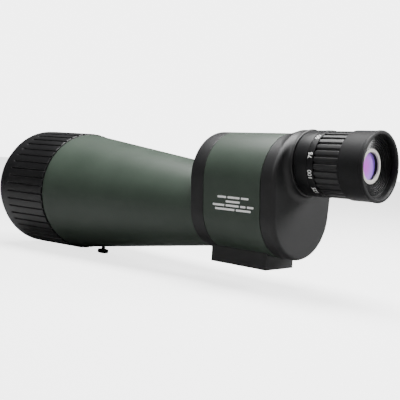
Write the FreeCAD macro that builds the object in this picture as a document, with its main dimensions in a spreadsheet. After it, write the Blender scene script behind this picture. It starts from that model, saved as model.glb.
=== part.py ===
import FreeCAD, Part
import Sketcher
import math
import os
import re

# Straight-view zoom spotting scope. +Y is the optical axis toward the target, +X the user's right, +Z up.
# The origin is the centre of the tripod foot's bottom face. Lengths are in millimetres.

Vector = FreeCAD.Vector

DIMENSIONS = {
    # optical axes
    "objective_axis_height": 41.2,
    "eyepiece_rise": 38.0,
    # general walls and clearances
    "fit_gap": 0.1,
    "running_gap": 0.08,
    "seam_gap": 0.3,
    # prism housing
    "hull_top_height": 64.6,
    "hull_bottom_height": 42.6,
    "housing_top_radius": 35.6,
    "housing_bottom_radius": 34.0,
    "armour_thickness": 1.5,
    "housing_wall": 2.2,
    "housing_front": 36.1,
    "trim_rear": 22.0,
    "trim_front_wall": 3.0,
    "trim_edge_fillet": 2.4,
    "bulkhead_thickness": 5.0,
    "cover_seam": -32.8,
    "cover_rear": -44.9,
    "cover_skin": 2.0,
    "cover_edge_fillet": 3.0,
    "cover_plate_wall": 4.0,
    "cover_rim_wall": 5.0,
    "gasket_thickness": 0.6,
    "gasket_width": 1.6,
    "gasket_margin": 0.4,
    "screw_post_radius": 3.4,
    "screw_post_length": 14.0,
    "cover_post_angle": 45.0,
    "top_post_angle": 25.0,
    "post_bite": 0.6,
    "column_drop": 4.0,
    "column_thread_depth": 8.0,
    "thread_rest": 0.6,
    # eyepiece boss on the rear cover
    "boss_wall": 3.4,
    "boss_front_radius": "=eyepiece_tube_radius + boss_wall",
    "boss_flare": 2.8,
    "boss_rear_radius": "=boss_front_radius + boss_flare",
    "boss_cone_end": -47.0,
    "boss_rear": -50.4,
    "socket_wall": 3.0,
    # barrel
    "barrel_front": 202.4,
    "barrel_band_length": 4.9,
    "barrel_band_end": "=barrel_front + barrel_band_length",
    "barrel_rear_radius": 31.6,
    "barrel_shoulder": 2.2,
    "barrel_front_radius": "=neck_radius + barrel_shoulder",
    "barrel_band_step": 0.8,
    "barrel_band_radius": "=barrel_front_radius + barrel_band_step",
    "barrel_wall": 2.5,
    "spigot_radius": 28.0,
    "spigot_wall": 2.2,
    "neck_radius": 51.2,
    "neck_wall": 1.5,
    "neck_reach": 34.0,
    "neck_end": "=barrel_front + neck_reach",
    "seal_cord_radius": 0.8,
    "seal_floor_gap": 0.02,
    "front_baffle_place": 150.0,
    "front_baffle_bore": 33.0,
    "rear_baffle_place": 76.0,
    "rear_baffle_bore": 22.0,
    "baffle_thickness": 1.6,
    # focus ring
    "ring_rear": "=barrel_band_end + seam_gap",
    "ring_length": 68.6,
    "ring_front": "=ring_rear + ring_length",
    "ring_core_wall": 2.0,
    "ring_core_radius": "=neck_radius + ring_core_wall",
    "grip_wall": 1.8,
    "grip_rear_radius": "=ring_core_radius + grip_wall",
    "grip_flare": 1.0,
    "grip_front_radius": "=grip_rear_radius + grip_flare",
    "grip_band": 12.0,
    "grip_chamfer": 1.0,
    "ring_front_lip": 0.6,
    "grip_groove_width": 1.9,
    "grip_groove_depth": 1.1,
    "grip_groove_count": 48,
    "ring_retainer_length": 1.8,
    "focus_groove_depth": 1.2,
    # objective
    "cell_setback": 9.6,
    "cell_rear": "=barrel_front + cell_setback",
    "cell_length": 20.0,
    "cell_wall": 3.1,
    "cell_lip": 2.2,
    "pin_root": 1.5,
    "flint_relief": 0.2,
    "flint_hollow": "=lens_sag + flint_relief",
    "spacer_margin": 0.3,
    "retaining_margin": 0.2,
    "clear_margin": 7.2,
    "clear_radius": "=neck_radius - clear_margin",
    "lens_curve": 0.08617,
    "lens_sag": "=(neck_radius - neck_wall - running_gap - cell_wall - fit_gap) * lens_curve",
    "crown_edge": 4.5,
    "flint_edge": 6.4,
    "lens_gap": 1.2,
    "lens_seat_gap": 0.4,
    "focus_travel": 8.0,
    "focus_turn": 270.0,
    "pin_radius": 1.5,
    "pin_setback": 4.5,
    "pin_place": "=cell_rear + pin_setback",
    "slot_gap": 0.15,
    "slot_overrun": 4.0,
    # sunshade
    "shade_wall": 1.4,
    "shade_setback": 2.8,
    "shade_rear": "=neck_end + shade_setback",
    "shade_reach": 7.8,
    "shade_front": "=ring_front + shade_reach",
    "shade_travel": 25.0,
    "shade_bead": 0.9,
    "shade_clearance": 1.0,
    # porro prisms
    "prism_aperture": 11.0,
    "prism_plate_thickness": 4.0,
    "prism_plate_gap": 0.4,
    "aperture_margin": 1.5,
    "aperture_radius": "=prism_aperture - aperture_margin",
    "clip_thickness": 0.8,
    "clip_width": 6.0,
    "clip_foot": 6.0,
    "clip_lift": 0.2,
    "clip_screw_reach": 1.6,
    "small_screw_radius": 1.0,
    "small_head_radius": 1.9,
    "small_head_height": 1.2,
    # tripod foot
    "foot_width": 32.0,
    "foot_length": 54.2,
    "foot_top": 16.0,
    "foot_head_height": 1.8,
    "foot_head_depth": 0.4,
    "thread_radius": 3.175,
    "thread_depth": 9.0,
    "bushing_radius": 5.0,
    "bushing_length": 9.6,
    "foot_screw_place": 19.0,
    "foot_screw_radius": 1.5,
    "foot_head_radius": 2.9,
    "foot_screw_length": 16.0,
    "foot_pad_height": 19.5,
    "foot_pad_width": 14.0,
    "foot_pad_lift": 2.6,
    "foot_pad_rear_gap": 3.5,
    "foot_pad_front": 24.0,
    # tether stud
    "stud_place": 182.0,
    "stud_stem_radius": 1.75,
    "stud_stem_length": 3.0,
    "stud_head_radius": 5.0,
    "stud_head_height": 2.4,
    # eyepiece
    "collar_front": -50.6,
    "collar_rear": -61.7,
    "collar_skirt": 2.1,
    "collar_radius": "=core_radius + collar_skirt",
    "collar_wall": 4.0,
    "band_rear": -66.9,
    "band_wall": 2.2,
    "band_radius": "=core_radius + band_wall",
    "core_nose": -55.4,
    "core_rear": -86.0,
    "core_wall": 1.6,
    "core_radius": "=cam_radius + core_wall",
    "zoom_grip_wall": 1.8,
    "grip_radius": "=core_radius + zoom_grip_wall",
    "zoom_groove_depth": 1.0,
    "zoom_grip_edge": 0.6,
    "zoom_groove_width": 2.2,
    "zoom_groove_count": 30,
    "cam_front": -55.4,
    "cam_rear": -84.0,
    "cam_wall": 1.9,
    "cam_radius": "=eyepiece_tube_radius + cam_wall",
    "eyepiece_tube_radius": 17.8,
    "eyepiece_tube_wall": 1.6,
    "eyepiece_tube_front": -38.4,
    "eyepiece_tube_rear": -88.0,
    "zoom_turn": 140.0,
    "variator_place": -60.0,
    "variator_travel": 5.0,
    "compensator_place": -78.5,
    "compensator_travel": 4.0,
    "zoom_cell_length": 7.0,
    "zoom_lens_margin": 4.8,
    "zoom_lens_radius": "=eyepiece_tube_radius - zoom_lens_margin",
    "zoom_pin_radius": 1.2,
    "drive_pin_place": -82.3,
    "zoom_cell_lip": 1.2,
    "zoom_seat_gap": 0.2,
    "eyepiece_seal_cord": 0.5,
    "collar_edge": 0.8,
    "field_lens_setback": 1.0,
    "field_lens_edge": 3.0,
    "eye_housing_step": 0.7,
    "eye_housing_radius": "=core_radius + eye_housing_step",
    "eye_housing_front": -86.3,
    "eye_dish_rear": -101.0,
    "eye_dish_front": -98.3,
    "eye_dish_wall": 2.6,
    "eye_dish_radius": "=eye_housing_radius - eye_dish_wall",
    "eye_dish_steps": 5,
    "eye_ring_radius": 11.9,
    "eye_ring_bore": 9.3,
    "eye_ring_front": -94.8,
    "eye_ring_rear": -98.0,
    "eye_seat_gap": 0.5,
    "eye_lens_edge": 4.0,
    "eye_bore_length": 1.2,
    "eye_lens_sag": 0.6,
    "cup_wall": 1.8,
    "cup_radius": "=eye_housing_radius + cup_wall",
    "cup_rear": -105.3,
    "cup_front": -86.3,
    "cup_mouth_step": 0.8,
    "cup_mouth_radius": "=eye_housing_radius - cup_mouth_step",
    "cup_lip_step": 0.3,
    "cup_lip_radius": "=cup_radius + cup_lip_step",
    "cup_lip_length": 2.4,
    "cup_front_edge": 0.8,
    "cup_lip_edge": 0.6,
    "cup_lip_slope": 0.5,
    "cup_mouth_depth": 1.2,
}

document = FreeCAD.newDocument("spotting_scope")
sheet = document.addObject("Spreadsheet::Sheet", "sizes")
SUBPARTS = []


def fill_sheet():
    """Writes every dimension into the sheet under an alias; one that starts with = follows others."""
    for row, (name, value) in enumerate(DIMENSIONS.items(), start=1):
        sheet.set("A%d" % row, name)
        sheet.set("B%d" % row, str(value))
        sheet.setAlias("B%d" % row, name)
    document.recompute()


def cells(text):
    """Puts the sheet's name in front of every alias in an expression."""
    parts = re.split("([A-Za-z_]+)", str(text))
    return "".join("sizes." + part if part in DIMENSIONS else part for part in parts)


def number(text):
    """The value of an expression on the sheet's aliases."""
    return float(sheet.evalExpression(cells(text)))


def bind(item, path, text):
    """Binds a property to an expression on the sheet."""
    item.setExpression(path, cells(text))


def origin_plane(body, role):
    """One of the body's own origin planes."""
    return [feature for feature in body.Origin.OriginFeatures if feature.Role == role][0]


def new_body(name, height="0"):
    """An empty body; height lifts its own axes to an optical axis."""
    body = document.addObject("PartDesign::Body", name)
    body.Label = name
    bind(body, "Placement.Base.z", height)
    SUBPARTS.append(name)
    return body


def new_sketch(body, name, role, offset="0"):
    """A sketch on one of the body's origin planes, moved along the plane's normal."""
    sketch = body.newObject("Sketcher::SketchObject", name)
    sketch.AttachmentSupport = (origin_plane(body, role), [""])
    sketch.MapMode = "FlatFace"
    bind(sketch, "AttachmentOffset.Base.z", offset)
    return sketch


def dimension(sketch, text, *constraint):
    """Adds a constraint whose last value is bound to an expression."""
    item = sketch.addConstraint(Sketcher.Constraint(*constraint, number(text)))
    bind(sketch, "Constraints[%d]" % item, text)


def fix_point(sketch, index, position, across, along):
    """Ties a sketch point to two expressions."""
    dimension(sketch, across, "DistanceX", -1, 1, index, position)
    dimension(sketch, along, "DistanceY", -1, 1, index, position)


def outline(sketch, points):
    """A closed outline. A point is (across, along), or (across, along, "arc") when a round side whose
    centre is on the horizontal axis leads on from it."""
    spots = [Vector(number(point[0]), number(point[1]), 0) for point in points]
    first = sketch.GeometryCount
    ends = []
    for index, start in enumerate(spots):
        stop = spots[(index + 1) % len(spots)]
        if len(points[index]) == 3:
            ends.append(add_axis_arc(sketch, start, stop))
        else:
            sketch.addGeometry(Part.LineSegment(start, stop))
            ends.append((1, 2))
    for index, place in enumerate(points):
        here = first + index
        following = (index + 1) % len(points)
        sketch.addConstraint(
            Sketcher.Constraint("Coincident", here, ends[index][1], first + following, ends[following][0])
        )
        fix_point(sketch, here, ends[index][0], place[0], place[1])
        if len(place) == 3:
            sketch.addConstraint(Sketcher.Constraint("PointOnObject", here, 3, -1))


def add_axis_arc(sketch, start, stop):
    """Adds an arc from start to stop about a point of the horizontal axis; returns its end codes."""
    centre = (stop.x**2 + stop.y**2 - start.x**2 - start.y**2) / (2 * (stop.x - start.x))
    radius = math.hypot(start.x - centre, start.y)
    angles = [math.atan2(spot.y, spot.x - centre) for spot in (start, stop)]
    middle = sum(angles) / 2
    halfway = Vector(centre + radius * math.cos(middle), radius * math.sin(middle), 0)
    index = sketch.addGeometry(Part.Arc(start, halfway, stop))
    gaps = [(sketch.getPoint(index, code) - start).Length for code in (1, 2)]
    return (1, 2) if gaps[0] < gaps[1] else (2, 1)


def circle(sketch, across, along, radius):
    """A circle tied to expressions."""
    centre = Vector(number(across), number(along), 0)
    index = sketch.addGeometry(Part.Circle(centre, Vector(0, 0, 1), number(radius)))
    dimension(sketch, radius, "Radius", index)
    fix_point(sketch, index, 3, across, along)


def rectangle(sketch, low_across, high_across, low_along, high_along):
    """An upright rectangle tied to expressions."""
    low = [(low_across, low_along), (high_across, low_along)]
    high = [(high_across, high_along), (low_across, high_along)]
    outline(sketch, low + high)


def round_ended(sketch, low, high, low_radius, high_radius):
    """Two arcs on the vertical axis joined by their outer tangents."""
    low_at, high_at = number(low), number(high)
    low_r, high_r = number(low_radius), number(high_radius)
    lean = math.asin((low_r - high_r) / (high_at - low_at))
    side = Vector(math.cos(lean), math.sin(lean), 0)
    other = Vector(-side.x, side.y, 0)
    centres = Vector(0, high_at, 0), Vector(0, low_at, 0)
    first = sketch.GeometryCount
    top = Part.Arc(centres[0] + side * high_r, centres[0] + Vector(0, high_r, 0), centres[0] + other * high_r)
    bottom = Part.Arc(centres[1] + other * low_r, centres[1] - Vector(0, low_r, 0), centres[1] + side * low_r)
    sketch.addGeometry(top)
    sketch.addGeometry(Part.LineSegment(centres[0] + other * high_r, centres[1] + other * low_r))
    sketch.addGeometry(bottom)
    sketch.addGeometry(Part.LineSegment(centres[1] + side * low_r, centres[0] + side * high_r))
    for index in range(4):
        sketch.addConstraint(Sketcher.Constraint("Tangent", first + index, 2, first + (index + 1) % 4, 1))
    fix_point(sketch, first, 3, "0", high)
    fix_point(sketch, first + 2, 3, "0", low)
    dimension(sketch, high_radius, "Radius", first)
    dimension(sketch, low_radius, "Radius", first + 2)


def hull(sketch, inset="0"):
    """The housing's outline pulled in by inset, in a body whose axes are at the foot's face."""
    top_radius = "housing_top_radius - (%s)" % inset
    bottom_radius = "housing_bottom_radius - (%s)" % inset
    round_ended(sketch, "hull_bottom_height", "hull_top_height", bottom_radius, top_radius)


def across_sketch(body, name, place):
    """A sketch across the optical axis at a place along it."""
    return new_sketch(body, name, "XZ_Plane", "-(%s)" % place)


def extend(body, sketch, kind, length, positive=True):
    """Pads or cuts a sketch toward the positive or negative end of the axis across its plane, and checks
    that the body's volume followed."""
    before = body.Shape.Volume if body.Tip else 0.0
    along_normal = positive == (sketch.AttachmentSupport[0][0].Role != "XZ_Plane")
    adds = kind == "PartDesign::Pad"
    feature = body.newObject(kind, sketch.Name + ("_pad" if adds else "_cut"))
    feature.Profile = sketch
    feature.Reversed = along_normal != adds
    bind(feature, "Length", length)
    document.recompute()
    change = body.Shape.Volume - before
    if adds != (change > 0) or abs(change) < 1e-6:
        raise RuntimeError("%s moved the volume by %.3f" % (feature.Name, change))
    return feature


def pad(body, sketch, length, positive=True):
    """Adds material from the sketch."""
    return extend(body, sketch, "PartDesign::Pad", length, positive)


def pocket(body, sketch, length, positive=True):
    """Cuts material from the sketch."""
    return extend(body, sketch, "PartDesign::Pocket", length, positive)


def turn_profile(body, name, points, kind="PartDesign::Revolution"):
    """Turns an outline of (along Y, radius) about the body's Y axis, as material or as a Groove."""
    sketch = new_sketch(body, name, "YZ_Plane")
    outline(sketch, points)
    feature = body.newObject(kind, name + "_turn")
    feature.Profile = sketch
    feature.ReferenceAxis = (sketch, ["H_Axis"])
    feature.Angle = 360
    document.recompute()
    return feature


def turned(name, height, points):
    """A body turned about the optical axis at the given height, from points of (along Y, radius)."""
    body = new_body(name, height)
    turn_profile(body, name + "_profile", points)
    return body


def seal_groove(body, place, half_width, floor, outside):
    """Cuts a square groove for a round seal in a turned body's outside."""
    low = "%s - %s" % (place, half_width)
    high = "%s + %s" % (place, half_width)
    points = [(low, floor), (high, floor), (high, outside), (low, outside)]
    turn_profile(body, body.Label + "_seal_groove", points, "PartDesign::Groove")


def ring(name, height, rear, front, inner, outer):
    """A plain ring between two Y places and two radii."""
    return turned(name, height, [(rear, inner), (front, inner), (front, outer), (rear, outer)])


def polar(body, feature, count):
    """Repeats a feature evenly round the body's Y axis and makes the result the body's tip."""
    pattern = body.newObject("PartDesign::PolarPattern", feature.Name + "_round")
    pattern.Originals = [feature]
    pattern.Axis = ([item for item in body.Origin.OriginFeatures if item.Role == "Y_Axis"][0], [""])
    pattern.Angle = 360
    bind(pattern, "Occurrences", count)
    body.Tip = pattern
    document.recompute()


def fillet_rim(body, place, radius, smallest=20.0):
    """Rounds the outline edges that lie at one place along the axis, the outer ones only."""
    height = number(place)
    names = []
    for index, edge in enumerate(body.Shape.Edges, start=1):
        box = edge.BoundBox
        flat = abs(box.YMin - height) < 1e-3 and abs(box.YMax - height) < 1e-3
        if flat and max(abs(box.XMin), abs(box.XMax)) > smallest:
            names.append("Edge%d" % index)
    base = body.Tip
    rounding = body.newObject("PartDesign::Fillet", body.Name + "_rim")
    rounding.Base = (base, names)
    bind(rounding, "Radius", radius)
    document.recompute()
    return rounding


# ---- shared expressions -------------------------------------------------------------------------------

OBJECTIVE = "objective_axis_height"
EYEPIECE = "(objective_axis_height + eyepiece_rise)"
BULKHEAD_FRONT = "(housing_front - trim_front_wall - fit_gap)"
BULKHEAD_REAR = "(housing_front - trim_front_wall - fit_gap - bulkhead_thickness)"
HOUSING_INNER = "(armour_thickness + housing_wall)"
GASKET_REAR = "(cover_seam - gasket_thickness)"
COVER_BACK = "(cover_rear + cover_skin + fit_gap)"
COVER_INSET = "(cover_skin + fit_gap)"
SOCKET_BORE = "(eyepiece_tube_radius + fit_gap / 2)"
SOCKET_RADIUS = "(eyepiece_tube_radius + socket_wall)"
NECK_BORE = "(neck_radius - neck_wall)"
CELL_RADIUS = "(neck_radius - neck_wall - running_gap)"
LENS_SEAT = "(neck_radius - neck_wall - running_gap - cell_wall)"
LENS_RADIUS = "(neck_radius - neck_wall - running_gap - cell_wall - fit_gap)"
CORE_BORE = "(neck_radius + running_gap)"
PRISM_SHIFT = "(eyepiece_rise / 2)"
CAM_BORE = "(eyepiece_tube_radius + running_gap)"
TUBE_BORE = "(eyepiece_tube_radius - eyepiece_tube_wall)"
ZOOM_CELL_RADIUS = "(eyepiece_tube_radius - eyepiece_tube_wall - running_gap)"
CONE_SLOPE = "((barrel_front_radius - barrel_rear_radius) / (barrel_front - housing_front))"
FOOT_PAD_FLOOR = "(hull_bottom_height - housing_bottom_radius + foot_pad_lift)"
SEAL_PLACE = "(housing_front - trim_front_wall - fit_gap - bulkhead_thickness / 2)"
BARREL_SEAL_RADIUS = "(spigot_radius + fit_gap - seal_cord_radius)"
CELL_SEAL_RADIUS = "(neck_radius - neck_wall - running_gap / 2 - seal_cord_radius)"
CELL_SEAL_PLACE = "(cell_rear + cell_length - 1.0 - seal_cord_radius)"
TUBE_SEAL_RADIUS = "(eyepiece_tube_radius + fit_gap / 2 - eyepiece_seal_cord)"
TUBE_SEAL_PLACE = "((cover_seam + boss_rear) / 2)"
SHADE_OUTER = "(neck_radius + shade_clearance)"
FLINT_REAR = "(cell_rear + cell_lip)"
FLINT_FRONT = "(cell_rear + cell_lip + flint_edge)"
CROWN_REAR = "(cell_rear + cell_lip + flint_edge + lens_gap)"
CROWN_FRONT = "(cell_rear + cell_lip + flint_edge + lens_gap + crown_edge)"
HALF_LEG = "(eyepiece_rise / 4 * sqrt(2))"
PRISM_HEIGHT = "(eyepiece_rise / 4 * sqrt(2) + prism_aperture)"
CLIP_SCREW = "(prism_aperture + clip_lift + clip_thickness + clip_foot / 2)"
EYE_LENS_FRONT = "(eye_ring_front + eye_lens_edge)"


def cone_radius(place, inset="0"):
    """The barrel cone's radius at a place along the axis."""
    return "barrel_rear_radius + %s * (%s - housing_front) - (%s)" % (CONE_SLOPE, place, inset)


# ---- housing --------------------------------------------------------------------------------------------


def post_places():
    """Centres of the four rear screws: (across, height), against the housing's inner wall."""
    reach = "(%s - screw_post_radius + post_bite)"
    top = reach % "housing_top_radius - (armour_thickness + housing_wall)"
    bottom = reach % "housing_bottom_radius - (armour_thickness + housing_wall)"
    side = " * cos(%s * 1 deg)"
    rise = " * sin(%s * 1 deg)"
    places = []
    for sign in ("", "-"):
        across = sign + top + side % "top_post_angle"
        places.append((across, "hull_top_height + " + top + rise % "top_post_angle"))
        across = sign + bottom + side % "cover_post_angle"
        places.append((across, "hull_bottom_height - " + bottom + rise % "cover_post_angle"))
    return places


def plate_screw_places():
    """Centres of the three prism plate screws: (across, height)."""
    low = "(housing_bottom_radius - (armour_thickness + housing_wall) - screw_post_radius + post_bite)"
    return [
        ("-" + low, "hull_top_height - column_drop"),
        ("-" + low, "hull_bottom_height - column_drop"),
        (low, "hull_bottom_height - column_drop"),
    ]


def prism_housing():
    """Cast body: oval shell with a front bulkhead, screw posts, plate columns and a pad over the foot."""
    body = new_body("prism_housing")
    outer = across_sketch(body, "housing_outer", "cover_seam")
    hull(outer, "armour_thickness")
    pad(body, outer, BULKHEAD_FRONT + " - cover_seam")
    inner = across_sketch(body, "housing_inner", "cover_seam")
    hull(inner, HOUSING_INNER)
    pocket(body, inner, BULKHEAD_REAR + " - cover_seam")
    posts = across_sketch(body, "housing_posts", "cover_seam")
    for across, height in post_places():
        circle(posts, across, height, "screw_post_radius")
    pad(body, posts, "screw_post_length")
    columns = across_sketch(body, "housing_columns", "prism_plate_thickness / 2")
    for across, height in plate_screw_places():
        circle(columns, across, height, "screw_post_radius")
    pad(body, columns, BULKHEAD_REAR + " - prism_plate_thickness / 2")
    foot_pad = new_sketch(body, "housing_foot_pad", "XY_Plane", FOOT_PAD_FLOOR)
    half = "foot_pad_width / 2"
    rectangle(foot_pad, "-" + half, half, "cover_seam + foot_pad_rear_gap", "foot_pad_front")
    pad(body, foot_pad, "foot_pad_height - " + FOOT_PAD_FLOOR)
    threads = across_sketch(body, "housing_post_threads", "cover_seam")
    for across, height in post_places():
        circle(threads, across, height, "small_screw_radius + fit_gap / 2")
    pocket(body, threads, "screw_post_length - 2")
    plate_threads = across_sketch(body, "housing_column_threads", "prism_plate_thickness / 2")
    for across, height in plate_screw_places():
        circle(plate_threads, across, height, "small_screw_radius + fit_gap / 2")
    pocket(body, plate_threads, "column_thread_depth")
    bore = across_sketch(body, "housing_bore", BULKHEAD_REAR + " - 1")
    circle(bore, "0", OBJECTIVE, "spigot_radius + fit_gap")
    pocket(body, bore, "bulkhead_thickness + 2")
    foot_threads = new_sketch(body, "housing_foot_threads", "XY_Plane", "0")
    for side in ("", "-"):
        circle(foot_threads, "0", side + "foot_screw_place", "foot_screw_radius + fit_gap / 2")
    pocket(body, foot_threads, "foot_screw_length + thread_rest")


def housing_armour():
    """Moulded sleeve round the middle of the housing, with a window for the foot."""
    body = new_body("housing_armour")
    outer = across_sketch(body, "armour_outer", "cover_seam + seam_gap / 2")
    hull(outer)
    pad(body, outer, "trim_rear - cover_seam - seam_gap")
    inner = across_sketch(body, "armour_inner", "cover_seam - 1")
    hull(inner, "armour_thickness")
    pocket(body, inner, "trim_rear - cover_seam + 2")
    window = new_sketch(body, "armour_window", "XY_Plane", "0")
    rectangle(window, *foot_window("fit_gap"))
    pocket(body, window, "foot_top")


def front_trim():
    """Moulded cap round the front of the housing, open for the barrel and notched for the foot."""
    body = new_body("front_trim")
    outer = across_sketch(body, "trim_outer", "trim_rear + seam_gap / 2")
    hull(outer)
    pad(body, outer, "housing_front - trim_rear - seam_gap / 2")
    fillet_rim(body, "housing_front", "trim_edge_fillet")
    inner = across_sketch(body, "trim_inner", "trim_rear")
    hull(inner, "armour_thickness")
    pocket(body, inner, BULKHEAD_FRONT + " - trim_rear + fit_gap")
    bore = across_sketch(body, "trim_bore", BULKHEAD_FRONT)
    circle(bore, "0", OBJECTIVE, "barrel_rear_radius + fit_gap")
    pocket(body, bore, "trim_front_wall + 1")
    window = new_sketch(body, "trim_window", "XY_Plane", "0")
    rectangle(window, *foot_window("fit_gap"))
    pocket(body, window, "foot_top")


def foot_window(gap):
    """The foot's footprint grown by a gap, as a rectangle's four expressions."""
    half_width = "foot_width / 2 + " + gap
    half_length = "foot_length / 2 + " + gap
    return "-(%s)" % half_width, half_width, "-(%s)" % half_length, half_length


def rear_cover():
    """Cast rear plate with a rim that closes the housing and a tubular socket for the eyepiece."""
    body = new_body("rear_cover")
    outer = across_sketch(body, "cover_outer", GASKET_REAR)
    hull(outer, COVER_INSET)
    pad(body, outer, "%s - %s" % (GASKET_REAR, COVER_BACK), False)
    inner = across_sketch(body, "cover_inner", GASKET_REAR)
    hull(inner, COVER_INSET + " + cover_rim_wall")
    pocket(body, inner, "%s - %s - cover_plate_wall" % (GASKET_REAR, COVER_BACK), False)
    posts = across_sketch(body, "cover_posts", GASKET_REAR)
    for across, height in post_places():
        circle(posts, across, height, "screw_post_radius")
    pad(body, posts, "%s - %s - cover_plate_wall / 2" % (GASKET_REAR, COVER_BACK), False)
    socket = across_sketch(body, "cover_socket", COVER_BACK + " + cover_plate_wall")
    circle(socket, "0", EYEPIECE, SOCKET_RADIUS)
    pad(body, socket, "%s + cover_plate_wall - boss_rear" % COVER_BACK, False)
    bore = across_sketch(body, "cover_bore", "cover_seam")
    circle(bore, "0", EYEPIECE, SOCKET_BORE)
    pocket(body, bore, "cover_seam - boss_rear + 1", False)
    holes = across_sketch(body, "cover_holes", "cover_seam")
    for across, height in post_places():
        circle(holes, across, height, "small_screw_radius + fit_gap / 2")
    pocket(body, holes, "cover_seam - cover_rear", False)
    heads = across_sketch(body, "cover_head_seats", COVER_BACK)
    for across, height in post_places():
        circle(heads, across, height, "small_head_radius + fit_gap")
    pocket(body, heads, "small_head_height + fit_gap")


def rear_cover_gasket():
    """Flat seal between the housing's rear face and the cover's rim."""
    body = new_body("rear_cover_gasket")
    outer = across_sketch(body, "gasket_outer", GASKET_REAR)
    hull(outer, "armour_thickness + fit_gap + gasket_margin")
    pad(body, outer, "gasket_thickness")
    inner = across_sketch(body, "gasket_inner", GASKET_REAR)
    hull(inner, "armour_thickness + fit_gap + gasket_margin + gasket_width")
    pocket(body, inner, "gasket_thickness")


def screws(name, places, head_face, length):
    """A group of identical small screws along the axis; heads and shanks both start at the head's face."""
    body = new_body(name)
    heads = across_sketch(body, name + "_heads", head_face)
    shanks = across_sketch(body, name + "_shanks", head_face)
    for across, along in places:
        circle(heads, across, along, "small_head_radius")
        circle(shanks, across, along, "small_screw_radius")
    pad(body, heads, "small_head_height")
    pad(body, shanks, length)


def rear_cover_screws():
    """Four screws that hold the rear cover, hidden under the moulded skin."""
    length = "cover_seam - %s + screw_post_length / 2" % COVER_BACK
    screws("rear_cover_screws", post_places(), COVER_BACK, length)


def rear_armour():
    """Moulded black skin over the rear cover: rounded rear edge and a boss that swells over the top."""
    body = new_body("rear_armour")
    outer = across_sketch(body, "skin_outer", "cover_seam - seam_gap / 2")
    hull(outer)
    pad(body, outer, "cover_seam - seam_gap / 2 - cover_rear", False)
    fillet_rim(body, "cover_rear", "cover_edge_fillet")
    boss = new_sketch(body, "skin_boss", "YZ_Plane")
    axis = EYEPIECE
    outline(
        boss,
        [
            ("cover_seam - seam_gap / 2", axis),
            ("cover_seam - seam_gap / 2", axis + " + boss_front_radius"),
            ("boss_cone_end", axis + " + boss_rear_radius"),
            ("boss_rear", axis + " + boss_rear_radius"),
            ("boss_rear", axis),
        ],
    )
    swell = body.newObject("PartDesign::Revolution", "skin_boss_turn")
    swell.Profile = boss
    swell.ReferenceAxis = (boss, ["Edge5"])
    swell.Angle = 360
    document.recompute()
    inner = across_sketch(body, "skin_inner", "cover_seam")
    hull(inner, "cover_skin")
    pocket(body, inner, "cover_seam - %s + fit_gap" % COVER_BACK, False)
    bore = across_sketch(body, "skin_bore", "cover_seam")
    circle(bore, "0", axis, SOCKET_RADIUS + " + fit_gap")
    pocket(body, bore, "cover_seam - boss_rear + 1", False)


def tripod_foot():
    """Solid foot block that fits the housing's underside, bored for the bushing and two screws."""
    body = new_body("tripod_foot")
    block = new_sketch(body, "foot_block", "XY_Plane", "0")
    rectangle(block, *foot_window("0"))
    pad(body, block, "foot_top")
    seat = across_sketch(body, "foot_seat", "-foot_length")
    hull(seat, "armour_thickness")
    pocket(body, seat, "foot_length * 2")
    bore = new_sketch(body, "foot_bushing_bore", "XY_Plane", "0")
    circle(bore, "0", "0", "bushing_radius")
    pocket(body, bore, "bushing_length")
    holes = new_sketch(body, "foot_screw_holes", "XY_Plane", "0")
    heads = new_sketch(body, "foot_head_seats", "XY_Plane", "0")
    for side in ("", "-"):
        circle(holes, "0", side + "foot_screw_place", "foot_screw_radius + fit_gap")
        circle(heads, "0", side + "foot_screw_place", "foot_head_radius + fit_gap")
    pocket(body, holes, "foot_top")
    pocket(body, heads, "foot_head_height + foot_head_depth")


def tripod_bushing():
    """Threaded metal bushing pressed in the foot, open at the foot's bottom face."""
    body = new_body("tripod_bushing")
    outer = new_sketch(body, "bushing_outer", "XY_Plane", "0")
    circle(outer, "0", "0", "bushing_radius")
    pad(body, outer, "bushing_length")
    bore = new_sketch(body, "bushing_thread", "XY_Plane", "0")
    circle(bore, "0", "0", "thread_radius")
    pocket(body, bore, "thread_depth")


def foot_screws():
    """Two countersunk screws that hold the foot to the housing from below."""
    body = new_body("foot_screws")
    heads = new_sketch(body, "foot_screw_heads", "XY_Plane", "foot_head_depth")
    shanks = new_sketch(body, "foot_screw_shanks", "XY_Plane", "foot_head_depth")
    for side in ("", "-"):
        circle(heads, "0", side + "foot_screw_place", "foot_head_radius")
        circle(shanks, "0", side + "foot_screw_place", "foot_screw_radius")
    pad(body, heads, "foot_head_height")
    pad(body, shanks, "foot_screw_length")


# ---- barrel ---------------------------------------------------------------------------------------------


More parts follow.
